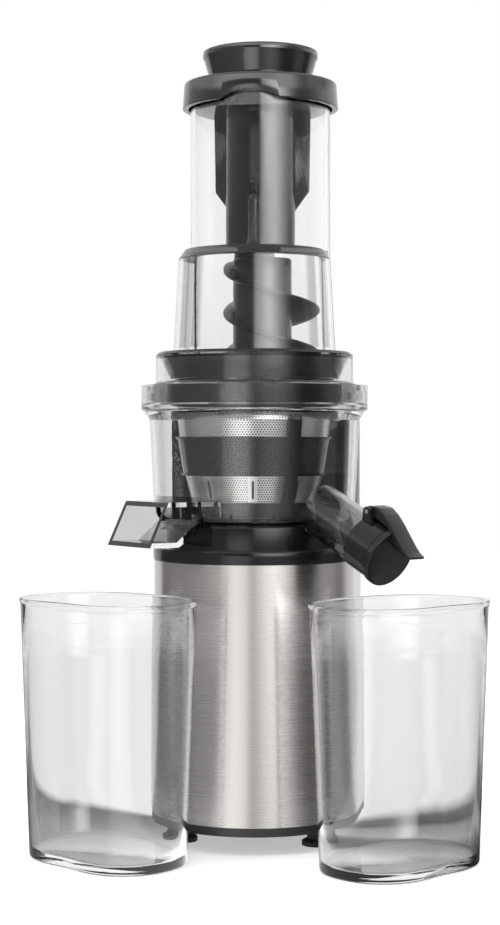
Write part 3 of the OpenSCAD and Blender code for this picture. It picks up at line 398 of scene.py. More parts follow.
def blend_shaders(tree, factor, first, second):
    mix = new_node(tree, "ShaderNodeMixShader")
    feed(tree, factor, mix.inputs[0])
    feed(tree, first, mix.inputs[1])
    feed(tree, second, mix.inputs[2])
    return mix


def between(tree, value, low, high):
    """1 where a value lies between two limits, and 0 elsewhere"""
    return times(tree, maths(tree, "GREATER_THAN", value, low), maths(tree, "LESS_THAN", value, high))


def ramp_of(tree, value, stops):
    """Grey level by a value, from stops that are each a position and a level"""
    ramp = new_node(tree, "ShaderNodeValToRGB")
    elements = ramp.color_ramp.elements
    while len(elements) < len(stops):
        elements.new(0.5)
    for element, (position, level) in zip(elements, stops):
        element.position = position
        element.color = (level, level, level, 1)
    feed(tree, value, ramp.inputs[0])
    return ramp.outputs[0]


def new_group(name, inputs, outputs):
    """Shader node group whose inputs are a vector and named floats with defaults, and whose outputs are floats"""
    tree = bpy.data.node_groups.new(name, "ShaderNodeTree")
    tree.interface.new_socket(name="Vector", in_out="INPUT", socket_type="NodeSocketVector")
    for label, value in inputs:
        socket = tree.interface.new_socket(name=label, in_out="INPUT", socket_type="NodeSocketFloat")
        socket.default_value = value
    for label in outputs:
        tree.interface.new_socket(name=label, in_out="OUTPUT", socket_type="NodeSocketFloat")
    entry = new_node(tree, "NodeGroupInput")
    leave = new_node(tree, "NodeGroupOutput")
    return tree, entry.outputs, leave.inputs


GROUPS = {}


def use_group(tree, maker, vector, **values):
    """Node of a group that is built once and shared, fed with a vector and with floats named by its labels"""
    if maker.__name__ not in GROUPS:
        GROUPS[maker.__name__] = maker()
    node = new_node(tree, "ShaderNodeGroup", node_tree=GROUPS[maker.__name__])
    feed(tree, vector, node.inputs["Vector"])
    for key, value in values.items():
        label = key.replace("_", " ").capitalize()
        node.inputs[label].default_value = value
    return node


def moulded_grain():
    """Fine uneven skin of moulded plastic and rubber: a height, a roughness and a shade that all wander slowly"""
    tree, entry, leave = new_group(
        "moulded_grain",
        [("Grain size", 900.0), ("Grain", 0.3), ("Roughness", 0.2), ("Wander", 0.05)],
        ["Height", "Roughness", "Shade"],
    )
    fine = noise(tree, entry["Vector"], entry["Grain size"], 3)
    broad = noise(tree, entry["Vector"], 38, 4)
    centred = maths(tree, "SUBTRACT", broad.outputs[0], 0.5)
    feed(tree, times(tree, fine.outputs[0], entry["Grain"]), leave["Height"])
    feed(tree, maths(tree, "MULTIPLY_ADD", centred, entry["Wander"], entry["Roughness"]), leave["Roughness"])
    feed(tree, maths(tree, "MULTIPLY_ADD", centred, 0.25, 1.0), leave["Shade"])
    return tree


def brushed_lines():
    """Fine straight brushing: noise drawn out along one direction"""
    tree, entry, leave = new_group(
        "brushed_lines",
        [("Roughness", 0.25), ("Wander", 0.1), ("Contrast", 0.3)],
        ["Height", "Roughness", "Shade"],
    )
    lines = noise(tree, entry["Vector"], 1, 5)
    lines.inputs["Roughness"].default_value = 0.7
    centred = maths(tree, "SUBTRACT", lines.outputs[0], 0.5)
    feed(tree, lines, leave["Height"])
    feed(tree, maths(tree, "MULTIPLY_ADD", centred, entry["Wander"], entry["Roughness"]), leave["Roughness"])
    feed(tree, maths(tree, "MULTIPLY_ADD", centred, entry["Contrast"], 1.0), leave["Shade"])
    return tree


def settled_dust():
    """Thin dust on what faces up: a mask from the normal and a cloudy noise"""
    tree, entry, leave = new_group("settled_dust", [("Amount", 0.1)], ["Mask"])
    surface = new_node(tree, "ShaderNodeNewGeometry")
    upward = maths(tree, "MAXIMUM", split(tree, surface.outputs["Normal"])["Z"], 0.0)
    cloud = noise(tree, entry["Vector"], 140, 6)
    speck = times(tree, maths(tree, "POWER", upward, 3.0), cloud.outputs[0])
    feed(tree, times(tree, speck, entry["Amount"]), leave["Mask"])
    return tree


# Height of a row of staggered holes as a part of their pitch
ROW_STEP = 0.866

# Slits of the sieve: share of a turn by which they are shifted, radius of the sheet there, half the width of the
# plain strip round a slit and of the slit itself, and the heights between which each runs, in metres
SLIT_SHIFT = 0.2862
SLIT_SHEET_RADIUS = 0.0375
STRIP_HALF = 0.0026
SLIT_HALF = 0.0006
STRIP_SPAN = (0.19, 0.2085)
SLIT_SPAN = (0.1955, 0.2055)


def from_middle(tree, value):
    """How far a value lies from the middle between two whole numbers"""
    return maths(tree, "SUBTRACT", maths(tree, "FRACT", value), 0.5)


def punched_holes():
    """Staggered round holes in a turned sheet and a row of upright slits: 1 on the metal and 0 in an opening"""
    tree, entry, leave = new_group(
        "punched_holes", [("Pitch", 0.0015), ("Radius", 0.04), ("Hole", 0.3), ("Slits", 9.0)], ["Metal"]
    )
    place_on = split(tree, entry["Vector"])
    turn = maths(tree, "ARCTAN2", place_on["Y"], place_on["X"])
    along_row = maths(tree, "DIVIDE", times(tree, turn, entry["Radius"]), entry["Pitch"])
    row = maths(tree, "DIVIDE", place_on["Z"], times(tree, entry["Pitch"], ROW_STEP))
    odd = maths(tree, "MODULO", maths(tree, "ABSOLUTE", maths(tree, "FLOOR", row)), 2.0)
    shifted = maths(tree, "MULTIPLY_ADD", odd, 0.5, along_row)
    across = from_middle(tree, shifted)
    upward = times(tree, from_middle(tree, row), ROW_STEP)
    square = maths(tree, "ADD", times(tree, across, across), times(tree, upward, upward))
    sheet = maths(tree, "GREATER_THAN", maths(tree, "SQRT", square), entry["Hole"])
    share = times(tree, maths(tree, "MULTIPLY_ADD", turn, 1 / math.tau, SLIT_SHIFT), entry["Slits"])
    aside = maths(tree, "ABSOLUTE", from_middle(tree, share))
    aside = maths(tree, "DIVIDE", times(tree, aside, math.tau * SLIT_SHEET_RADIUS), entry["Slits"])
    strip = times(tree, maths(tree, "LESS_THAN", aside, STRIP_HALF), between(tree, place_on["Z"], *STRIP_SPAN))
    slit = times(tree, maths(tree, "LESS_THAN", aside, SLIT_HALF), between(tree, place_on["Z"], *SLIT_SPAN))
    sheet = maths(tree, "MAXIMUM", sheet, strip)
    feed(tree, times(tree, sheet, maths(tree, "SUBTRACT", 1.0, slit)), leave["Metal"])
    return tree


def toward(tree, vector, height, degrees, reach, half_width, top):
    """1 in an upright slab that starts at some reach from the axis in one direction and ends at a height"""
    cosine = math.cos(math.radians(degrees))
    sine = math.sin(math.radians(degrees))
    out = vector_maths(tree, "DOT_PRODUCT", vector, cosine, sine, 0)
    aside = vector_maths(tree, "DOT_PRODUCT", vector, -sine, cosine, 0)
    inside = maths(tree, "LESS_THAN", maths(tree, "ABSOLUTE", aside), half_width)
    inside = times(tree, inside, maths(tree, "GREATER_THAN", out, reach))
    return times(tree, inside, maths(tree, "LESS_THAN", height, top))


# Direction of the pulp spout in degrees, and the two edges of its mouth as distance from the axis and height in mm
MOUTH_TURN = 223
MOUTH_HIGH = (73, 194.2)
MOUTH_LOW = (85, 169.5)
# Direction of the juice spout in degrees
SPOUT_TURN = -39

# Heights in metres of the hopper's shoulder and flange, of the bowl's rim and of the hopper's cone
SHOULDER_SPAN = (0.3325, 0.339)
FLANGE_SPAN = (0.2752, 0.2796)
RIM_SPAN = (0.2455, 0.2615)
CONE_SPAN = (0.281, 0.3325)

# Painted shade in dark and light stripes at the sides of the hopper's cone, by how far its wall turns away from the
# eye
PAINTED_CONE_BANDS = (
    (0.0, 1.0), (0.25, 1.0), (0.3, 0.4), (0.38, 0.35), (0.41, 0.95), (0.45, 0.95), (0.49, 0.4), (0.6, 0.38),
    (0.66, 0.95), (0.9, 0.8), (1.0, 0.3)
)


def painted_shade_zones():
    """Painted shade: 1 where the shell is plain and less along its thick rims and in both spouts, and a mask of the
    hopper's cone
    """
    tree, entry, leave = new_group(
        # Levels of the painted shade in each zone
        "painted_shade_zones",
        [("Shoulder", 0.12), ("Flange", 0.3), ("Rim", 0.75), ("Spouts", 0.5)],
        ["Clearness", "Cone"],
    )
    height = split(tree, entry["Vector"])["Z"]
    away = vector_maths(tree, "LENGTH", vector_maths(tree, "MULTIPLY", entry["Vector"], 1, 1, 0))
    near = maths(tree, "LESS_THAN", away, 0.0448)
    zones = (
        ("Shoulder", times(tree, between(tree, height, *SHOULDER_SPAN), near)),
        ("Flange", between(tree, height, *FLANGE_SPAN)),
        ("Rim", between(tree, height, *RIM_SPAN)),
        ("Spouts", toward(tree, entry["Vector"], height, MOUTH_TURN, 0.04, 0.021, 0.197)),
        ("Spouts", toward(tree, entry["Vector"], height, SPOUT_TURN, 0.046, 0.0175, 0.21)),
    )
    clear = 1.0
    for label, zone in zones:
        painted_loss = times(tree, zone, maths(tree, "SUBTRACT", 1.0, entry[label]))
        clear = maths(tree, "MINIMUM", maths(tree, "SUBTRACT", 1.0, painted_loss), clear)
    feed(tree, clear, leave["Clearness"])
    within = maths(tree, "LESS_THAN", away, 0.048)
    feed(tree, times(tree, between(tree, height, *CONE_SPAN), within), leave["Cone"])
    return tree


def painted_mouth_shade():
    """Painted shade: 1 on the cut end of the pulp spout, which lies low down beyond a slanting plane, and 0 elsewhere
    """
    tree, entry, leave = new_group("painted_mouth_shade", [], ["Mask"])
    turn = math.radians(MOUTH_TURN)
    lean = math.atan2(MOUTH_HIGH[1] - MOUTH_LOW[1], MOUTH_LOW[0] - MOUTH_HIGH[0])
    out = (math.sin(lean) * math.cos(turn), math.sin(lean) * math.sin(turn), math.cos(lean))
    reach = vector_maths(tree, "DOT_PRODUCT", entry["Vector"], *out)
    edge = (math.sin(lean) * MOUTH_HIGH[0] + math.cos(lean) * MOUTH_HIGH[1]) * MM
    beyond = maths(tree, "GREATER_THAN", reach, edge - 0.0004)
    low_down = maths(tree, "LESS_THAN", split(tree, entry["Vector"])["Z"], 0.21)
    feed(tree, times(tree, beyond, low_down), leave["Mask"])
    return tree


def new_material(name):
    """Material with a mapping of Object coordinates, centred on the auger's axis, in front of its shader"""
    material = bpy.data.materials.new(name)
    material.use_nodes = True
    tree = material.node_tree
    where = new_node(tree, "ShaderNodeTexCoord")
    mapping = new_node(tree, "ShaderNodeMapping")
    mapping.inputs["Location"].default_value = (-AXIS.x, -AXIS.y, 0)
    feed(tree, where.outputs["Object"], mapping.inputs["Vector"])
    return material, tree, tree.nodes["Principled BSDF"], mapping


def tinted(tree, colour, shade):
    """Colour times a shade that changes over the surface"""
    return blend(tree, 1.0, (*colour, 1), shade, "MULTIPLY")


def raise_skin(tree, shader, skin, distance):
    """Gives a shader the roughness and the bumps of a skin"""
    feed(tree, skin.outputs["Roughness"], shader.inputs["Roughness"])
    relief = new_node(tree, "ShaderNodeBump")
    relief.inputs["Distance"].default_value = distance
    feed(tree, skin.outputs["Height"], relief.inputs["Height"])
    feed(tree, relief, shader.inputs["Normal"])


DUST = (0.45, 0.44, 0.42, 1)


def moulded(name, colour, roughness, grain, grain_size, bump, dust, gloss=0.5):
    """Plastic, resin or rubber with a moulded skin and a little dust on top"""
    material, tree, shader, mapping = new_material(name)
    skin = use_group(tree, moulded_grain, mapping, grain_size=grain_size, grain=grain, roughness=roughness)
    film = use_group(tree, settled_dust, mapping, amount=dust)
    clean = tinted(tree, colour, skin.outputs["Shade"])
    feed(tree, blend(tree, film.outputs["Mask"], clean, DUST), shader.inputs["Base Color"])
    raise_skin(tree, shader, skin, bump)
    shader.inputs["Specular IOR Level"].default_value = gloss
    return material


def metal(name, colour, roughness, stretch, bump=0.000008, wander=0.12, contrast=0.3, anisotropy=0.0):
    """Metal with fine lines along the directions in which its noise is drawn out"""
    material, tree, shader, mapping = new_material(name)
    drawn = vector_maths(tree, "MULTIPLY", mapping, *stretch)
    lines = use_group(tree, brushed_lines, drawn, roughness=roughness, wander=wander, contrast=contrast)
    feed(tree, tinted(tree, colour, lines.outputs["Shade"]), shader.inputs["Base Color"])
    raise_skin(tree, shader, lines, bump)
    shader.inputs["Metallic"].default_value = 1
    shader.inputs["Anisotropic"].default_value = anisotropy
    shader.inputs["Anisotropic Rotation"].default_value = 0.25
    return material


def clear_plastic(name, colour, edge, spread, zones):
    """Clear plastic with painted shade: darker where its wall is seen along its length, and, with zones, by place
    along its thick rims, in its spouts, in stripes on the hopper's cone and on the pulp spout's cut end
    """
    material, tree, shader, mapping = new_material(name)
    slant = new_node(tree, "ShaderNodeLayerWeight")
    slant.inputs["Blend"].default_value = spread
    skin = use_group(tree, moulded_grain, mapping, grain_size=60.0, grain=1.0, roughness=0.015, wander=0.02)
    # Painted shade: the tint goes over to the edge colour where the wall turns away from the eye
    facing = maths(tree, "POWER", slant.outputs["Facing"], 4.0)
    edge_shaded_tint = blend(tree, facing, (*colour, 1), (*edge, 1))
    if zones:
        places = use_group(tree, painted_shade_zones, mapping)
        straight = new_node(tree, "ShaderNodeLayerWeight")
        straight.inputs["Blend"].default_value = 0.5
        # Painted shade: stripes on the cone by how far its wall turns away from the eye
        painted_bands = ramp_of(tree, straight.outputs["Facing"], PAINTED_CONE_BANDS)
        band_shaded = blend(tree, places.outputs["Cone"], edge_shaded_tint, painted_bands, "MULTIPLY")
        # Painted shade along the thick rims and in both spouts
        rim_shaded = blend(tree, 1.0, band_shaded, places.outputs["Clearness"], "MULTIPLY")
        mouth_shade_mask = use_group(tree, painted_mouth_shade, mapping)
        # Painted shade: the pulp spout's cut end is painted near black
        edge_shaded_tint = blend(tree, mouth_shade_mask.outputs["Mask"], rim_shaded, (0.01, 0.01, 0.012, 1))
    feed(tree, edge_shaded_tint, shader.inputs["Base Color"])
    raise_skin(tree, shader, skin, 0.00004)
    shader.inputs["Transmission Weight"].default_value = 1
    shader.inputs["IOR"].default_value = 1.49
    return material


def sieve_sheet(name, colour):
    """Thin steel sheet with staggered holes"""
    material = metal(name, colour, 0.3, (40, 40, 40), 0.00001)
    tree = material.node_tree
    holes = use_group(tree, punched_holes, tree.nodes["Mapping"], pitch=sizes().hole_pitch, radius=0.04, hole=0.3)
    feed(tree, holes.outputs["Metal"], tree.nodes["Principled BSDF"].inputs["Alpha"])
    return material


# ---------- finishes ----------

FINISHES = {}

# The CAD nodes that each finish is for
FINISH_NODES = {
    "sleeve_steel": "base_shell",
    "pan_black": "base_bottom interlock_switch switch_bezel",
    "foot_rubber": "rubber_feet cord_gland",
    "zinc_screw": "base_screws gearbox_screws",
    "gloss_black": (
        "top_deck rear_column switch_rocker strainer_frame spout_ring spout_cap hopper_ring pusher_column"
    ),
    "handle_black": "pusher_knob",
    "plated_steel": "motor_can motor_rotor",
    "cast_metal": "motor_cap interlock_magnet",
    "copper_winding": "stator",
    "sintered_bronze": "motor_bushes drive_bush",
    "natural_nylon": "gearbox_case gearbox_cover cooling_fan idler_gear output_gear",
    "ground_steel": (
        "drive_bearing motor_shaft motor_pinion idler_shaft drive_shaft cap_hinge_pin auger_hex_insert"
    ),
    "grey_silicone": "shaft_seal bowl_seal cap_seal auger_seal",
    "board_green": "control_board",
    "clear_shell": "juice_bowl hopper",
    "sieve_steel": "strainer_mesh",
    "auger_resin": "auger",
    "clear_cup": "juice_cup pulp_cup",
}


class JUICER_OT_finishes(bpy.types.Operator):
    """Builds every finish and gives each CAD node its own"""

    bl_idname = "juicer.finishes"
    bl_label = "Finishes"

    def execute(self, context):
        palette = colours()
        # Name, colour, roughness, strength and size of the grain, height of its bumps, dust, and gloss for two
        for finish in (
            ("gloss_black", palette.black, 0.09, 0.2, 500.0, 0.000006, 0.03, 0.36),
            ("handle_black", palette.black, 0.07, 0.2, 500.0, 0.000006, 0.03, 0.95),
            ("pan_black", palette.matt_black, 0.42, 1.0, 1400.0, 0.00006, 0.1),
            ("foot_rubber", palette.rubber, 0.62, 0.7, 1800.0, 0.00005, 0.15),
            ("auger_resin", palette.resin, 0.2, 0.4, 1100.0, 0.00002, 0.0),
            ("natural_nylon", (0.74, 0.71, 0.62), 0.4, 0.5, 800.0, 0.00003, 0.0),
            ("grey_silicone", (0.5, 0.5, 0.48), 0.5, 0.5, 1200.0, 0.00002, 0.0),
            ("board_green", (0.02, 0.13, 0.06), 0.35, 0.8, 400.0, 0.00004, 0.05),
        ):
            FINISHES[finish[0]] = moulded(*finish)
        # Name, colour, roughness, stretch of the lines along X, Y and Z, and height of their bumps where it isn't
        # the usual one; for the sleeve also their wander and contrast, and how much its reflections are drawn out
        for finish in (
            ("copper_winding", (0.6, 0.25, 0.1), 0.3, (30, 30, 1600), 0.00006),
            ("sleeve_steel", palette.steel, 0.27, (5, 5, 2600), 0.0000008, 0.05, 0.06, 0.95),
            ("plated_steel", (0.5, 0.5, 0.52), 0.35, (120, 120, 120)),
            ("ground_steel", (0.66, 0.67, 0.69), 0.18, (20, 20, 1500)),
            ("cast_metal", (0.55, 0.55, 0.56), 0.5, (400, 400, 400), 0.00006),
            ("sintered_bronze", (0.55, 0.38, 0.17), 0.42, (900, 900, 900), 0.00003),
            ("zinc_screw", (0.6, 0.6, 0.58), 0.3, (300, 300, 300)),
        ):
            FINISHES[finish[0]] = metal(*finish)
        FINISHES["sieve_steel"] = sieve_sheet("sieve_steel", (0.78, 0.76, 0.73))
        FINISHES["clear_shell"] = clear_plastic("clear_shell", palette.clear, palette.painted_edge_shade, 0.35, True)
        FINISHES["clear_cup"] = clear_plastic("clear_cup", palette.clear, palette.painted_edge_shade, 0.3, False)
        for finish, names in FINISH_NODES.items():
            for name in names.split():
                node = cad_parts[name]
                node.data.materials.clear()
                node.data.materials.append(FINISHES[finish])
        return {"FINISHED"}


# ---------- pieces ----------


# Pusher, in millimetres: how far its skirt hangs below the plug's shoulder, the arch in the skirt's front, the height
# of the fins' lower corners above the column's foot, how far the fins narrow and how steeply they end below the
# corners, their thickness, and how far they stand behind the column's axis
SKIRT_DROP = 12
ARCH_RISE = 5
ARCH_RADIUS = 34.9
FIN_CORNER = 34.6
FIN_DRAFT = 0.9
FIN_STEEPNESS = 1.35
FIN_THICK = 3.0
FINS_BEHIND = 8


class JUICER_OT_pusher(bpy.types.Operator):
    """Models the pusher: its knob with the skirt, and its column with two fins"""

    bl_idname = "juicer.pusher"
    bl_label = "Pusher"

    def execute(self, context):
        low, high = extent("pusher_knob", 2)
        top = high / MM
        plug = low / MM
        edge = plug + 14
        hem = edge - SKIRT_DROP
        knob = sizes().knob_radius / MM
        skirt = sizes().skirt_radius / MM
        stem = sizes().stem_radius / MM
        centre = (CHUTE_AXIS.x, CHUTE_AXIS.y)
        handle = turned(
            "pusher_handle",
            [
                (stem - 2.4, plug), (37.6, plug, 0.8), (37.6, edge - 0.1), (42.6, edge - 0.1), (42.6, hem),
                (skirt, hem, 0.7), (skirt - 0.9, edge + 3, 1.6), (knob - 4.8, edge + 3, 0.9),
                (knob - 0.9, top - 5.4, 1.2), (knob, top - 3.6, 0.9), (knob, top, 1.1),
                (knob - 5, top, 1.2), (knob - 7.4, top - 2, 1.6), (0, top - 2), (0, top - 5),
                (knob - 8, top - 5), (knob - 8, plug + 3), (stem - 2.4, plug + 3)
            ],
            centre, 128
        )
        where = (CHUTE_AXIS.x, CHUTE_AXIS.y - 0.0465, (hem + ARCH_RISE - ARCH_RADIUS) * MM)
        cut_away(handle, cylinder("skirt_arch", 128, ARCH_RADIUS * MM, 0.03, where, lying=True))
        soften_edges(handle, 0.0004)
        settle(handle, 35)
        dress(handle, "pusher", "black_gloss", FINISHES["handle_black"], "pusher_knob")

        foot = extent("pusher_column", 2)[0] / MM
        column = turned(
            "pusher_stem",
            [(0, foot, 0), (stem, foot, 1.2), (stem, plug + 1), (0, plug + 1)],
            centre
        )
        reach = sizes().fin_reach / MM
        corner = foot + FIN_CORNER
        root = stem - 4
        root_z = corner - FIN_STEEPNESS * (reach - FIN_DRAFT - root)
        fins = slab(
            "pusher_fins",
            [
                (-reach, plug + 1), (-reach + FIN_DRAFT, corner, 2), (-root, root_z), (root, root_z),
                (reach - FIN_DRAFT, corner, 2), (reach, plug + 1)
            ],
            FIN_THICK, 6, 0.5
        )
        fins.data.transform(Matrix.Translation(Vector((CHUTE_AXIS.x, CHUTE_AXIS.y + FINS_BEHIND * MM, 0))))
        join_on(column, fins)
        cut_away(column, cylinder("tip_groove", 48, 0.0056, 0.06, (AXIS.x, AXIS.y, 0.348)))
        soften_edges(column, 0.0005)
        settle(column, 40)
        dress(column, "pusher", "black_gloss", FINISHES["gloss_black"], "pusher_column")
        return {"FINISHED"}


# How far right of the axis the auger's upper part stands, and each flight's height where it crosses the left side
# and at its top, all in millimetres
SHOULDER_ASIDE = 4.6
FLIGHTS = (("long_flight", 328.8, 331), ("short_flight", 303.8, 309))


class JUICER_OT_auger(bpy.types.Operator):
    """Models the auger: a stepped core, a tall finger and two flights"""

    bl_idname = "juicer.auger"
    bl_label = "Auger"

    def execute(self, context):
        low, high = extent("auger", 2)
        foot = low / MM
        tip = high / MM
        centre = (AXIS.x, AXIS.y)
        core = turned(
            "auger_screw",
            [
                (15.5, foot), (33.2, foot, 0.8), (33.2, foot + 4, 0.8), (27, foot + 4.5), (23, 215), (19, 250),
                (17, 262, 2), (11.8, 270, 2), (11.8, 336, 1), (8.6, 338.4, 1), (5, 341, 2), (3.7, 346),
                (3.7, tip - 4, 2), (2.2, tip - 1, 1), (0, tip), (0, foot + 40), (11.1, foot + 40),
                (11.1, foot + 12), (15.5, foot + 12)
            ],
            centre
        )
        upper = turned(
            "auger_shoulder",
            [(0, 268.2), (17, 268.2, 0.6), (17, 333, 1.2), (0, 333)],
            (AXIS.x + SHOULDER_ASIDE * MM, AXIS.y)
        )
        join_on(core, upper)
        for name, crossing, top in FLIGHTS:
            join_on(core, flight(name, crossing, top, foot + 6))
        settle(core, 38)
        dress(core, "auger", "grey_resin", FINISHES["auger_resin"], "auger")
        return {"FINISHED"}


# Sections of a flight in a full turn, and how many of them fade in at its top
SECTIONS_A_TURN = 40
FADING_SECTIONS = 5
# Reach of the flights in millimetres: their distance from the sieve's outer face, the ring round the auger's foot
# that they keep inside, the circle that they reach higher up and its middle's distance from the axis, and the
# heights over which the one goes over into the other
SIEVE_CLEARANCE = 2.0
FOOT_RING_TOP = 195
FOOT_RING_RADIUS = 33.3
CIRCLE = 28
ASIDE = 10
CHANGE_START = 258
CHANGE_SPAN = 18
# Radius of the auger's core, and of the sieve's outer face, by height, in millimetres
CORE_LINE = [(192, 27), (215, 23), (250, 19), (262, 17), (270, 11.8), (340, 11.8)]
SIEVE_LINE = [(193, 36), (208.3, 39.8), (230.3, 43.2), (248, 45.3)]


def along(line, height):
    """Value on a broken line of height and value"""
    if height <= line[0][0]:
        return line[0][1]
    for (low, first), (high, second) in zip(line, line[1:]):
        if height <= high:
            return first + (second - first) * (height - low) / (high - low)
    return line[-1][1]


def reach_of_flight(height, turn):
    """Radius that a flight reaches: inside the sieve below, and on an off-centre circle above"""
    inside = along(SIEVE_LINE, height) - SIEVE_CLEARANCE
    if height < FOOT_RING_TOP:
        inside = min(inside, FOOT_RING_RADIUS)
    round_top = ASIDE * math.cos(turn) + math.sqrt(CIRCLE ** 2 - (ASIDE * math.sin(turn)) ** 2)
    share = min(max((height - CHANGE_START) / CHANGE_SPAN, 0), 1)
    share = share * share * (3 - 2 * share)
    return inside * (1 - share) + round_top * share


def flight_section(height, turn, fade):
    """Eight points of a flight's section, thick at its root and rounded at its tip"""
    root = along(CORE_LINE, height) - 0.7
    reach = max(root + 2, reach_of_flight(height, turn) * fade + 18 * (1 - fade))
    ring = []
    for out, half in (
        (root, -2.2), (root + 1.6, -1.5), (reach - 0.6, -0.9), (reach, -0.4),
        (reach, 0.4), (reach - 0.6, 0.9), (root + 1.6, 1.5), (root, 2.2)
    ):
        ring.append(place(out * math.cos(turn), out * math.sin(turn), height + half))
    return ring


def flight(name, crossing, top, foot):
    """One flight, stacked section by section from its top down the core, and fading in over its first few"""
    lead = sizes().flight_lead / MM
    first = math.pi + (crossing - top) / lead * math.tau
    count = math.ceil((top - foot) / lead * SECTIONS_A_TURN)
    rings = []
    for k in range(count + 1):
        height = top - (top - foot) * k / count
        turn = first + (top - height) / lead * math.tau
        rings.append(flight_section(height, turn, min(1, k / FADING_SECTIONS)))
    return settle(stacked(name, rings), 38)


class JUICER_OT_cups(bpy.types.Operator):
    """Models the two collecting cups, each a rounded kidney with a lip and a thick floor"""

    bl_idname = "juicer.cups"
    bl_label = "Cups"

    def execute(self, context):
        for node in CUP_PLACES:
            dress(cup(node + "_glass", node), node, "clear_plastic", FINISHES["clear_cup"], node)
        return {"FINISHED"}


# Each cup's centre from the auger's axis in millimetres, and its turn in degrees
CUP_PLACES = {"juice_cup": (89.2, -69.0, 52.6), "pulp_cup": (-70.2, -75.0, -36)}
CUP_SIDES = 144
# A cup's width at its foot as a part of that at its rim
FOOT_SHARE = 0.89
# Power of the oval that a cup's outline is, and the depth, middle and spread in degrees of its hollow
OVAL_POWER = 2.4
HOLLOW_DEPTH = 0.13
HOLLOW_MIDDLE = 270
HOLLOW_SPREAD = 34


def kidney(turn, half_long, half_wide):
    """Radius of the cup's outline: a full oval with a shallow hollow on its inner side"""
    lengthways = (abs(math.cos(turn)) / half_long) ** OVAL_POWER
    sideways = (abs(math.sin(turn)) / half_wide) ** OVAL_POWER
    away = (math.degrees(turn) - HOLLOW_MIDDLE) / HOLLOW_SPREAD
    return (lengthways + sideways) ** (-1 / OVAL_POWER) * (1 - HOLLOW_DEPTH * math.exp(-away * away))


def cup(name, node):
    """One cup: rings up its outside, over its lip and down its inside, each a height and a step outwards in mm"""
    height = extent(node, 2)[1] / MM
    wall = sizes().cup_wall / MM
    levels = [(0, -1.5), (0.5, -0.5), (1.6, 0)]
    levels += [(height * share, 0) for share in (0.25, 0.5, 0.75)]
    levels += [(height - 3.4, 0), (height - 2.6, 0.4), (height - 0.7, 0.5), (height, 0.2)]
    levels += [(height, -1.3), (height - 0.7, -wall)]
    levels += [(height * share, -wall) for share in (0.75, 0.5, 0.25)]
    levels += [(7, -wall), (5.4, -wall - 0.7), (5, -wall - 2.2)]
    rings = []
    for z, out in levels:
        share = FOOT_SHARE + (1 - FOOT_SHARE) * z / height
        half_long = sizes().cup_long / MM / 2 * share + out
        half_wide = sizes().cup_wide / MM / 2 * share + out
        ring = []
        for i in range(CUP_SIDES):
            angle = math.tau * i / CUP_SIDES
            radius = kidney(angle, half_long, half_wide) * MM
            ring.append((radius * math.cos(angle), radius * math.sin(angle), z * MM))
        rings.append(ring)
    piece = stacked(name, rings)
    x, y, degrees = CUP_PLACES[node]
    turn = Matrix.Rotation(math.radians(degrees), 4, "Z")
    piece.data.transform(Matrix.Translation(place(x, y, 0)) @ turn)
    return settle(piece, 40)


# Distance between the centres of the base's round ends in millimetres
ENDS_APART = 38


class JUICER_OT_deck(bpy.types.Operator):
    """Models the black collar on the sleeve and the round seat on it"""

    bl_idname = "juicer.deck"
    bl_label = "Deck"

    def execute(self, context):
        low = extent("base_shell", 2)[1]
        collar_top = extent("rear_column", 2)[0]
        where = (AXIS.x, AXIS.y, (collar_top + low) / 2)
        collar = cylinder("deck_collar", 128, sizes().collar_radius, collar_top - low, where)
        bpy.ops.object.mode_set(mode="EDIT")
        pick_behind(collar, AXIS.y + 1e-5)
        bpy.ops.transform.translate(value=(0, ENDS_APART * MM, 0))
        leave_edit()
        soften_edges(collar, 0.0009, 3)
        settle(collar, 40)
        dress(collar, "base", "black_gloss", FINISHES["gloss_black"])
        top = extent("top_deck", 2)[1] / MM
        edge = sizes().seat_radius / MM
        seat = turned(
            "bowl_seat",
            [
                (12.1, top, 0.4), (12.1, top - 7), (10, top - 7), (10, top - 20), (edge, top - 20), (edge, top, 1.6),
                (40, top, 0.6), (39, top - 0.8, 0.6), (20, top - 0.8, 0.6), (18, top, 0.6)
            ],
            (AXIS.x, AXIS.y), 128
        )
        dress(seat, "base", "black_gloss", FINISHES["gloss_black"], "top_deck")
        return {"FINISHED"}


# Fall of the juice spout in degrees, and the middle of its end face as distance from the axis and height in mm
SPOUT_SLOPE = 25
SPOUT_FACE = (108, 164.7)


def spout_matrix():
    """Turns a piece drawn with Z along the spout, X up and Y aside into its place"""
    turn = math.radians(SPOUT_TURN)
    slope = math.radians(SPOUT_SLOPE)
    out = Vector((math.cos(turn) * math.cos(slope), math.sin(turn) * math.cos(slope), -math.sin(slope)))
    side = Vector((-math.sin(turn), math.cos(turn), 0))
    reach, height = SPOUT_FACE
    face = place(reach * math.cos(turn), reach * math.sin(turn), height)
    return Matrix.Translation(face) @ Matrix((out.cross(side), side, out)).transposed().to_4x4()


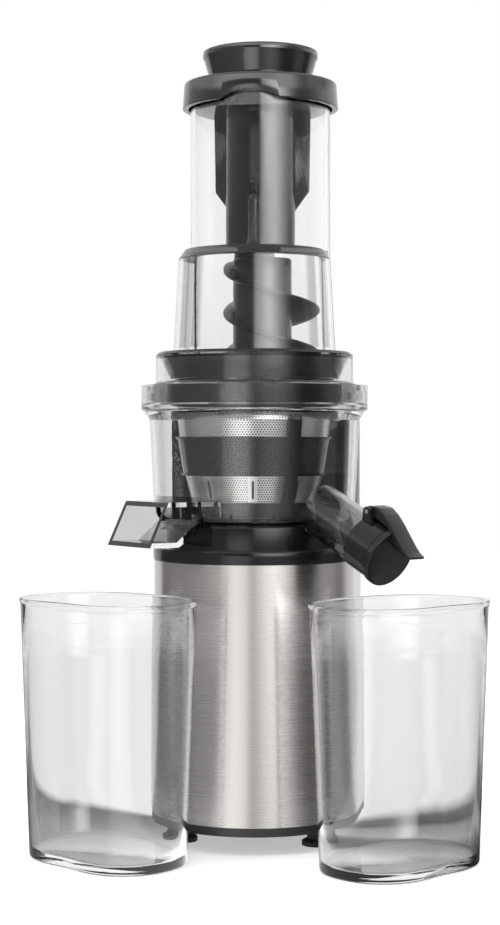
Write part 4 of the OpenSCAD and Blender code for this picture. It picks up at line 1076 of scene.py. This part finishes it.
class JUICER_OT_spout_cap(bpy.types.Operator):
    """Models the cap of the juice spout with its lever"""

    bl_idname = "juicer.spout_cap"
    bl_label = "Spout cap"

    def execute(self, context):
        lid = turned("spout_lid", [(0, -4), (16.6, -4, 0.5), (16.6, 0, 1.1), (0, 0)], (0, 0))
        lever = slab(
            "lever",
            [
                (21.4, -20.4, 1), (22.9, -17.4, 2), (23.1, -14.6, 2), (21.9, -9.6, 3), (19.2, -3.6, 4), (15.4, 3.2, 6),
                (12.2, 9, 4), (10.3, 13.4, 2), (9.6, 17, 0.6), (8.3, 16.8, 0.6), (8.2, 12.6, 3), (8.4, 7.6, 3),
                (9.2, 3, 2), (10, -0.5, 1), (12, -3.9, 1), (16.4, -3.9, 1), (17, -8, 1), (17.2, -15, 1),
                (16.6, -18.2, 1)
            ],
            11.6, 4, 0.7, 3
        )
        join_on(lever, cylinder("knuckle", 40, 0.003, 0.0116, (0.0188, 0, -0.02), lying=True))
        join_on(lid, lever)
        lid.data.transform(spout_matrix())
        settle(lid, 38)
        dress(lid, "cap", "black_gloss", FINISHES["gloss_black"], "spout_cap")
        return {"FINISHED"}


# ---------- studio ----------


# Brightness of the studio by degrees round the juicer, 0 in front and growing to the right: the panels that stand
# low down, those a little above the eye and those well above it
LOW_PANELS = (
    (-180, 0.93), (-126, 0.9), (-119, 0.17), (-104, 0.23), (-90, 0.31), (-63, 0.38), (-40, 0.5), (-30, 0.6),
    (-25, 1.4), (-18, 1.8), (-12, 1.95), (-1, 1.6), (5, 0.8), (10, 0.5), (16, 0.62), (24, 0.8), (33, 0.85),
    (45, 0.6), (52, 0.3), (60, 0.12), (76, 0.12), (84, 0.2), (92, 0.4), (108, 0.3), (115, 0.1), (126, 0.14),
    (134, 0.55), (140, 0.85), (180, 0.93)
)
HIGH_PANELS = (
    (-180, 1.0), (-130, 1.0), (-115, 0.6), (-102, 0.55), (-81, 0.45), (-60, 0.35), (-42, 0.42), (-30, 0.35),
    (-15, 0.25), (0, 0.2), (6, 0.3), (10, 2.6), (14, 3.4), (18, 4.2), (25, 5.2), (32, 5.6), (38, 4.8), (45, 3.3),
    (52, 1.8), (58, 0.9), (66, 0.4), (80, 0.35), (94, 0.6), (113, 1.1), (135, 1.2), (180, 1.0)
)
TOP_PANELS = (
    (-180, 0.9), (-130, 1.0), (-119, 0.8), (-93, 1.2), (-72, 1.3), (-54, 2.1), (-37, 2.4), (-7, 2.2), (8, 2.0),
    (22, 2.0), (30, 2.4), (37, 2.6), (53, 2.4), (61, 1.8), (69, 1.0), (78, 0.6), (87, 0.9), (107, 0.9), (120, 0.6),
    (132, 0.9), (180, 0.9)
)
BRIGHTEST = 6.0
# How far up, as the sine of the angle, each ring and then the ceiling takes over from what is below it
HIGH_STEP = (0.02, 0.1)
TOP_STEP = (0.23, 0.29)
CEILING_STEP = (0.42, 0.55)


def ring_of_panels(tree, share, stops):
    """Light by the share of a whole turn, as a part of the brightest level"""
    return ramp_of(tree, share, [(degrees / 360 + 0.5, level / BRIGHTEST) for degrees, level in stops])


def rising(tree, value, low, high):
    """0 below one limit and 1 above another, with a soft step between them"""
    step = new_node(tree, "ShaderNodeMapRange", interpolation_type="SMOOTHSTEP")
    step.inputs["From Min"].default_value = low
    step.inputs["From Max"].default_value = high
    feed(tree, value, step.inputs["Value"])
    return step.outputs["Result"]


def studio_panels():
    """Brightness of the studio by direction, for reflections alone: three rings of panels and a pale ceiling"""
    tree, entry, leave = new_group("studio_panels", [], ["Light"])
    way = split(tree, vector_maths(tree, "NORMALIZE", entry["Vector"]))
    turn = maths(tree, "ARCTAN2", way["X"], times(tree, way["Y"], -1.0))
    share = maths(tree, "MULTIPLY_ADD", turn, 1 / math.tau, 0.5)
    low = ring_of_panels(tree, share, LOW_PANELS)
    high = ring_of_panels(tree, share, HIGH_PANELS)
    top = ring_of_panels(tree, share, TOP_PANELS)
    level = low
    for step, above in ((HIGH_STEP, high), (TOP_STEP, top), (CEILING_STEP, 1 / BRIGHTEST)):
        level = blend(tree, rising(tree, way["Z"], *step), level, above, sort="FLOAT")
    feed(tree, times(tree, level, BRIGHTEST), leave["Light"])
    return tree


def ray_masks(tree, path):
    """Whether a ray comes straight from the camera or through glass, and whether it was reflected on its way"""
    reflected = maths(tree, "MAXIMUM", path.outputs["Is Glossy Ray"], path.outputs["Glossy Depth"])
    reflected = maths(tree, "MINIMUM", reflected, 1.0)
    clean = maths(tree, "LESS_THAN", path.outputs["Diffuse Depth"], 0.5)
    seen = maths(tree, "MAXIMUM", path.outputs["Is Camera Ray"], path.outputs["Is Transmission Ray"])
    return times(tree, seen, clean), times(tree, reflected, clean)


LAMP_TARGET = Vector((0, 0, 0.2))
# Shift of the camera's view as a part of the picture's longer side, with down negative
VIEW_SHIFT = -22.5 / 925


def light_up(name, where, width, height, power):
    """Rectangular lamp that lights the object and isn't seen in its reflections"""
    bpy.ops.object.light_add(type="AREA", location=where)
    lamp = bpy.context.object
    lamp.name = name
    lamp.data.shape = "RECTANGLE"
    lamp.data.size = width
    lamp.data.size_y = height
    lamp.data.energy = power
    lamp.rotation_euler = (LAMP_TARGET - Vector(where)).to_track_quat("-Z", "Y").to_euler()
    lamp.visible_glossy = False
    lamp.visible_transmission = False


class JUICER_OT_studio(bpy.types.Operator):
    """Sets the camera, the floor, the lamps and the world"""

    bl_idname = "juicer.studio"
    bl_label = "Studio"

    def execute(self, context):
        settings = context.scene.juicer_studio
        select_none()
        turn = settings.turn
        forward = Vector((-math.sin(turn), math.cos(turn), 0))
        right = Vector((math.cos(turn), math.sin(turn), 0))
        spot = Vector((AXIS.x, AXIS.y, 0)) - forward * settings.distance - right * settings.aside
        spot.z = settings.height
        bpy.ops.object.camera_add(location=spot)
        camera = context.object
        camera.name = "photo_camera"
        camera.rotation_euler = forward.to_track_quat("-Z", "Y").to_euler()
        camera.data.lens = settings.lens
        camera.data.sensor_width = 36
        camera.data.shift_y = VIEW_SHIFT
        context.scene.camera = camera

        bpy.ops.mesh.primitive_plane_add(size=6, location=(AXIS.x, AXIS.y, -0.0002))
        floor = start("pale_floor")
        edit(floor)
        bpy.ops.mesh.select_all(action="SELECT")
        bpy.ops.mesh.subdivide(number_cuts=4)
        leave_edit()
        floor.data.materials.append(self.floor_finish())
        context.scene.world = self.world(settings.ambient)
        light_up("top_softbox", (-0.3, -0.5, 1.6), 1.2, 0.9, 16)
        light_up("right_softbox", (1.3, -0.7, 0.7), 0.8, 1.2, 9)
        light_up("left_softbox", (-1.3, -0.7, 0.7), 0.8, 1.2, 7)
        context.scene.view_settings.view_transform = "Standard"
        return {"FINISHED"}

    def floor_finish(self):
        """White to the camera and through glass, a studio of panels in reflections, and a shadow on it"""
        material, tree, shader, mapping = new_material("floor_white")
        shader.inputs["Base Color"].default_value = (0.8, 0.8, 0.8, 1)
        shader.inputs["Roughness"].default_value = 0.6
        shader.inputs["Specular IOR Level"].default_value = 0.1
        path = new_node(tree, "ShaderNodeLightPath")
        straight, reflected = ray_masks(tree, path)
        both = new_node(tree, "ShaderNodeAddShader")
        feed(tree, shader, both.inputs[0])
        feed(tree, glow(tree, "ShaderNodeEmission", (1, 1, 1, 1), times(tree, straight, 0.45)), both.inputs[1])
        panels = use_group(tree, studio_panels, mapping)
        seen = glow(tree, "ShaderNodeEmission", panels, 1)
        chosen = blend_shaders(tree, reflected, both, seen)
        feed(tree, chosen, tree.nodes["Material Output"].inputs["Surface"])
        return material

    def world(self, ambient):
        """White to the camera and through glass, panels in reflections, and an even light for the rest"""
        world = bpy.data.worlds.new("studio_world")
        world.use_nodes = True
        tree = world.node_tree
        tree.nodes.clear()
        path = new_node(tree, "ShaderNodeLightPath")
        where = new_node(tree, "ShaderNodeTexCoord")
        even = glow(tree, "ShaderNodeBackground", (0.97, 0.985, 1, 1), ambient)
        white = glow(tree, "ShaderNodeBackground", (1, 1, 1, 1), 1)
        panels = use_group(tree, studio_panels, where.outputs["Generated"])
        seen = glow(tree, "ShaderNodeBackground", panels, 1)
        straight, reflected = ray_masks(tree, path)
        unreflected = blend_shaders(tree, straight, even, white)
        leave = new_node(tree, "ShaderNodeOutputWorld")
        feed(tree, blend_shaders(tree, reflected, unreflected, seen), leave.inputs["Surface"])
        return world


# ---------- panel and registration ----------


class JUICER_PT_panel(bpy.types.Panel):
    """Lists the steps that dress the juicer"""

    bl_idname = "JUICER_PT_panel"
    bl_label = "Juicer"
    bl_space_type = "VIEW_3D"
    bl_region_type = "UI"
    bl_category = "Juicer"

    def draw(self, context):
        column = self.layout.column()
        for step in STEPS:
            column.operator(step.bl_idname)
        for group in (context.scene.juicer_sizes, context.scene.juicer_colours, context.scene.juicer_studio):
            box = self.layout.box()
            for key in group.__annotations__:
                box.prop(group, key)


STEPS = (
    JUICER_OT_finishes,
    JUICER_OT_pusher,
    JUICER_OT_auger,
    JUICER_OT_cups,
    JUICER_OT_deck,
    JUICER_OT_spout_cap,
    JUICER_OT_studio,
)
CLASSES = (JuicerSizes, JuicerColours, JuicerStudio, *STEPS, JUICER_PT_panel)


def register():
    for cls in CLASSES:
        bpy.utils.register_class(cls)
    bpy.types.Scene.juicer_sizes = bpy.props.PointerProperty(type=JuicerSizes)
    bpy.types.Scene.juicer_colours = bpy.props.PointerProperty(type=JuicerColours)
    bpy.types.Scene.juicer_studio = bpy.props.PointerProperty(type=JuicerStudio)


def unregister():
    del bpy.types.Scene.juicer_studio
    del bpy.types.Scene.juicer_colours
    del bpy.types.Scene.juicer_sizes
    for cls in reversed(CLASSES):
        bpy.utils.unregister_class(cls)


def main():
    register()
    bpy.ops.juicer.finishes()
    bpy.ops.juicer.pusher()
    bpy.ops.juicer.auger()
    bpy.ops.juicer.cups()
    bpy.ops.juicer.deck()
    bpy.ops.juicer.spout_cap()
    bpy.ops.juicer.studio()
    leave_edit()


if __name__ == "__main__":
    main()
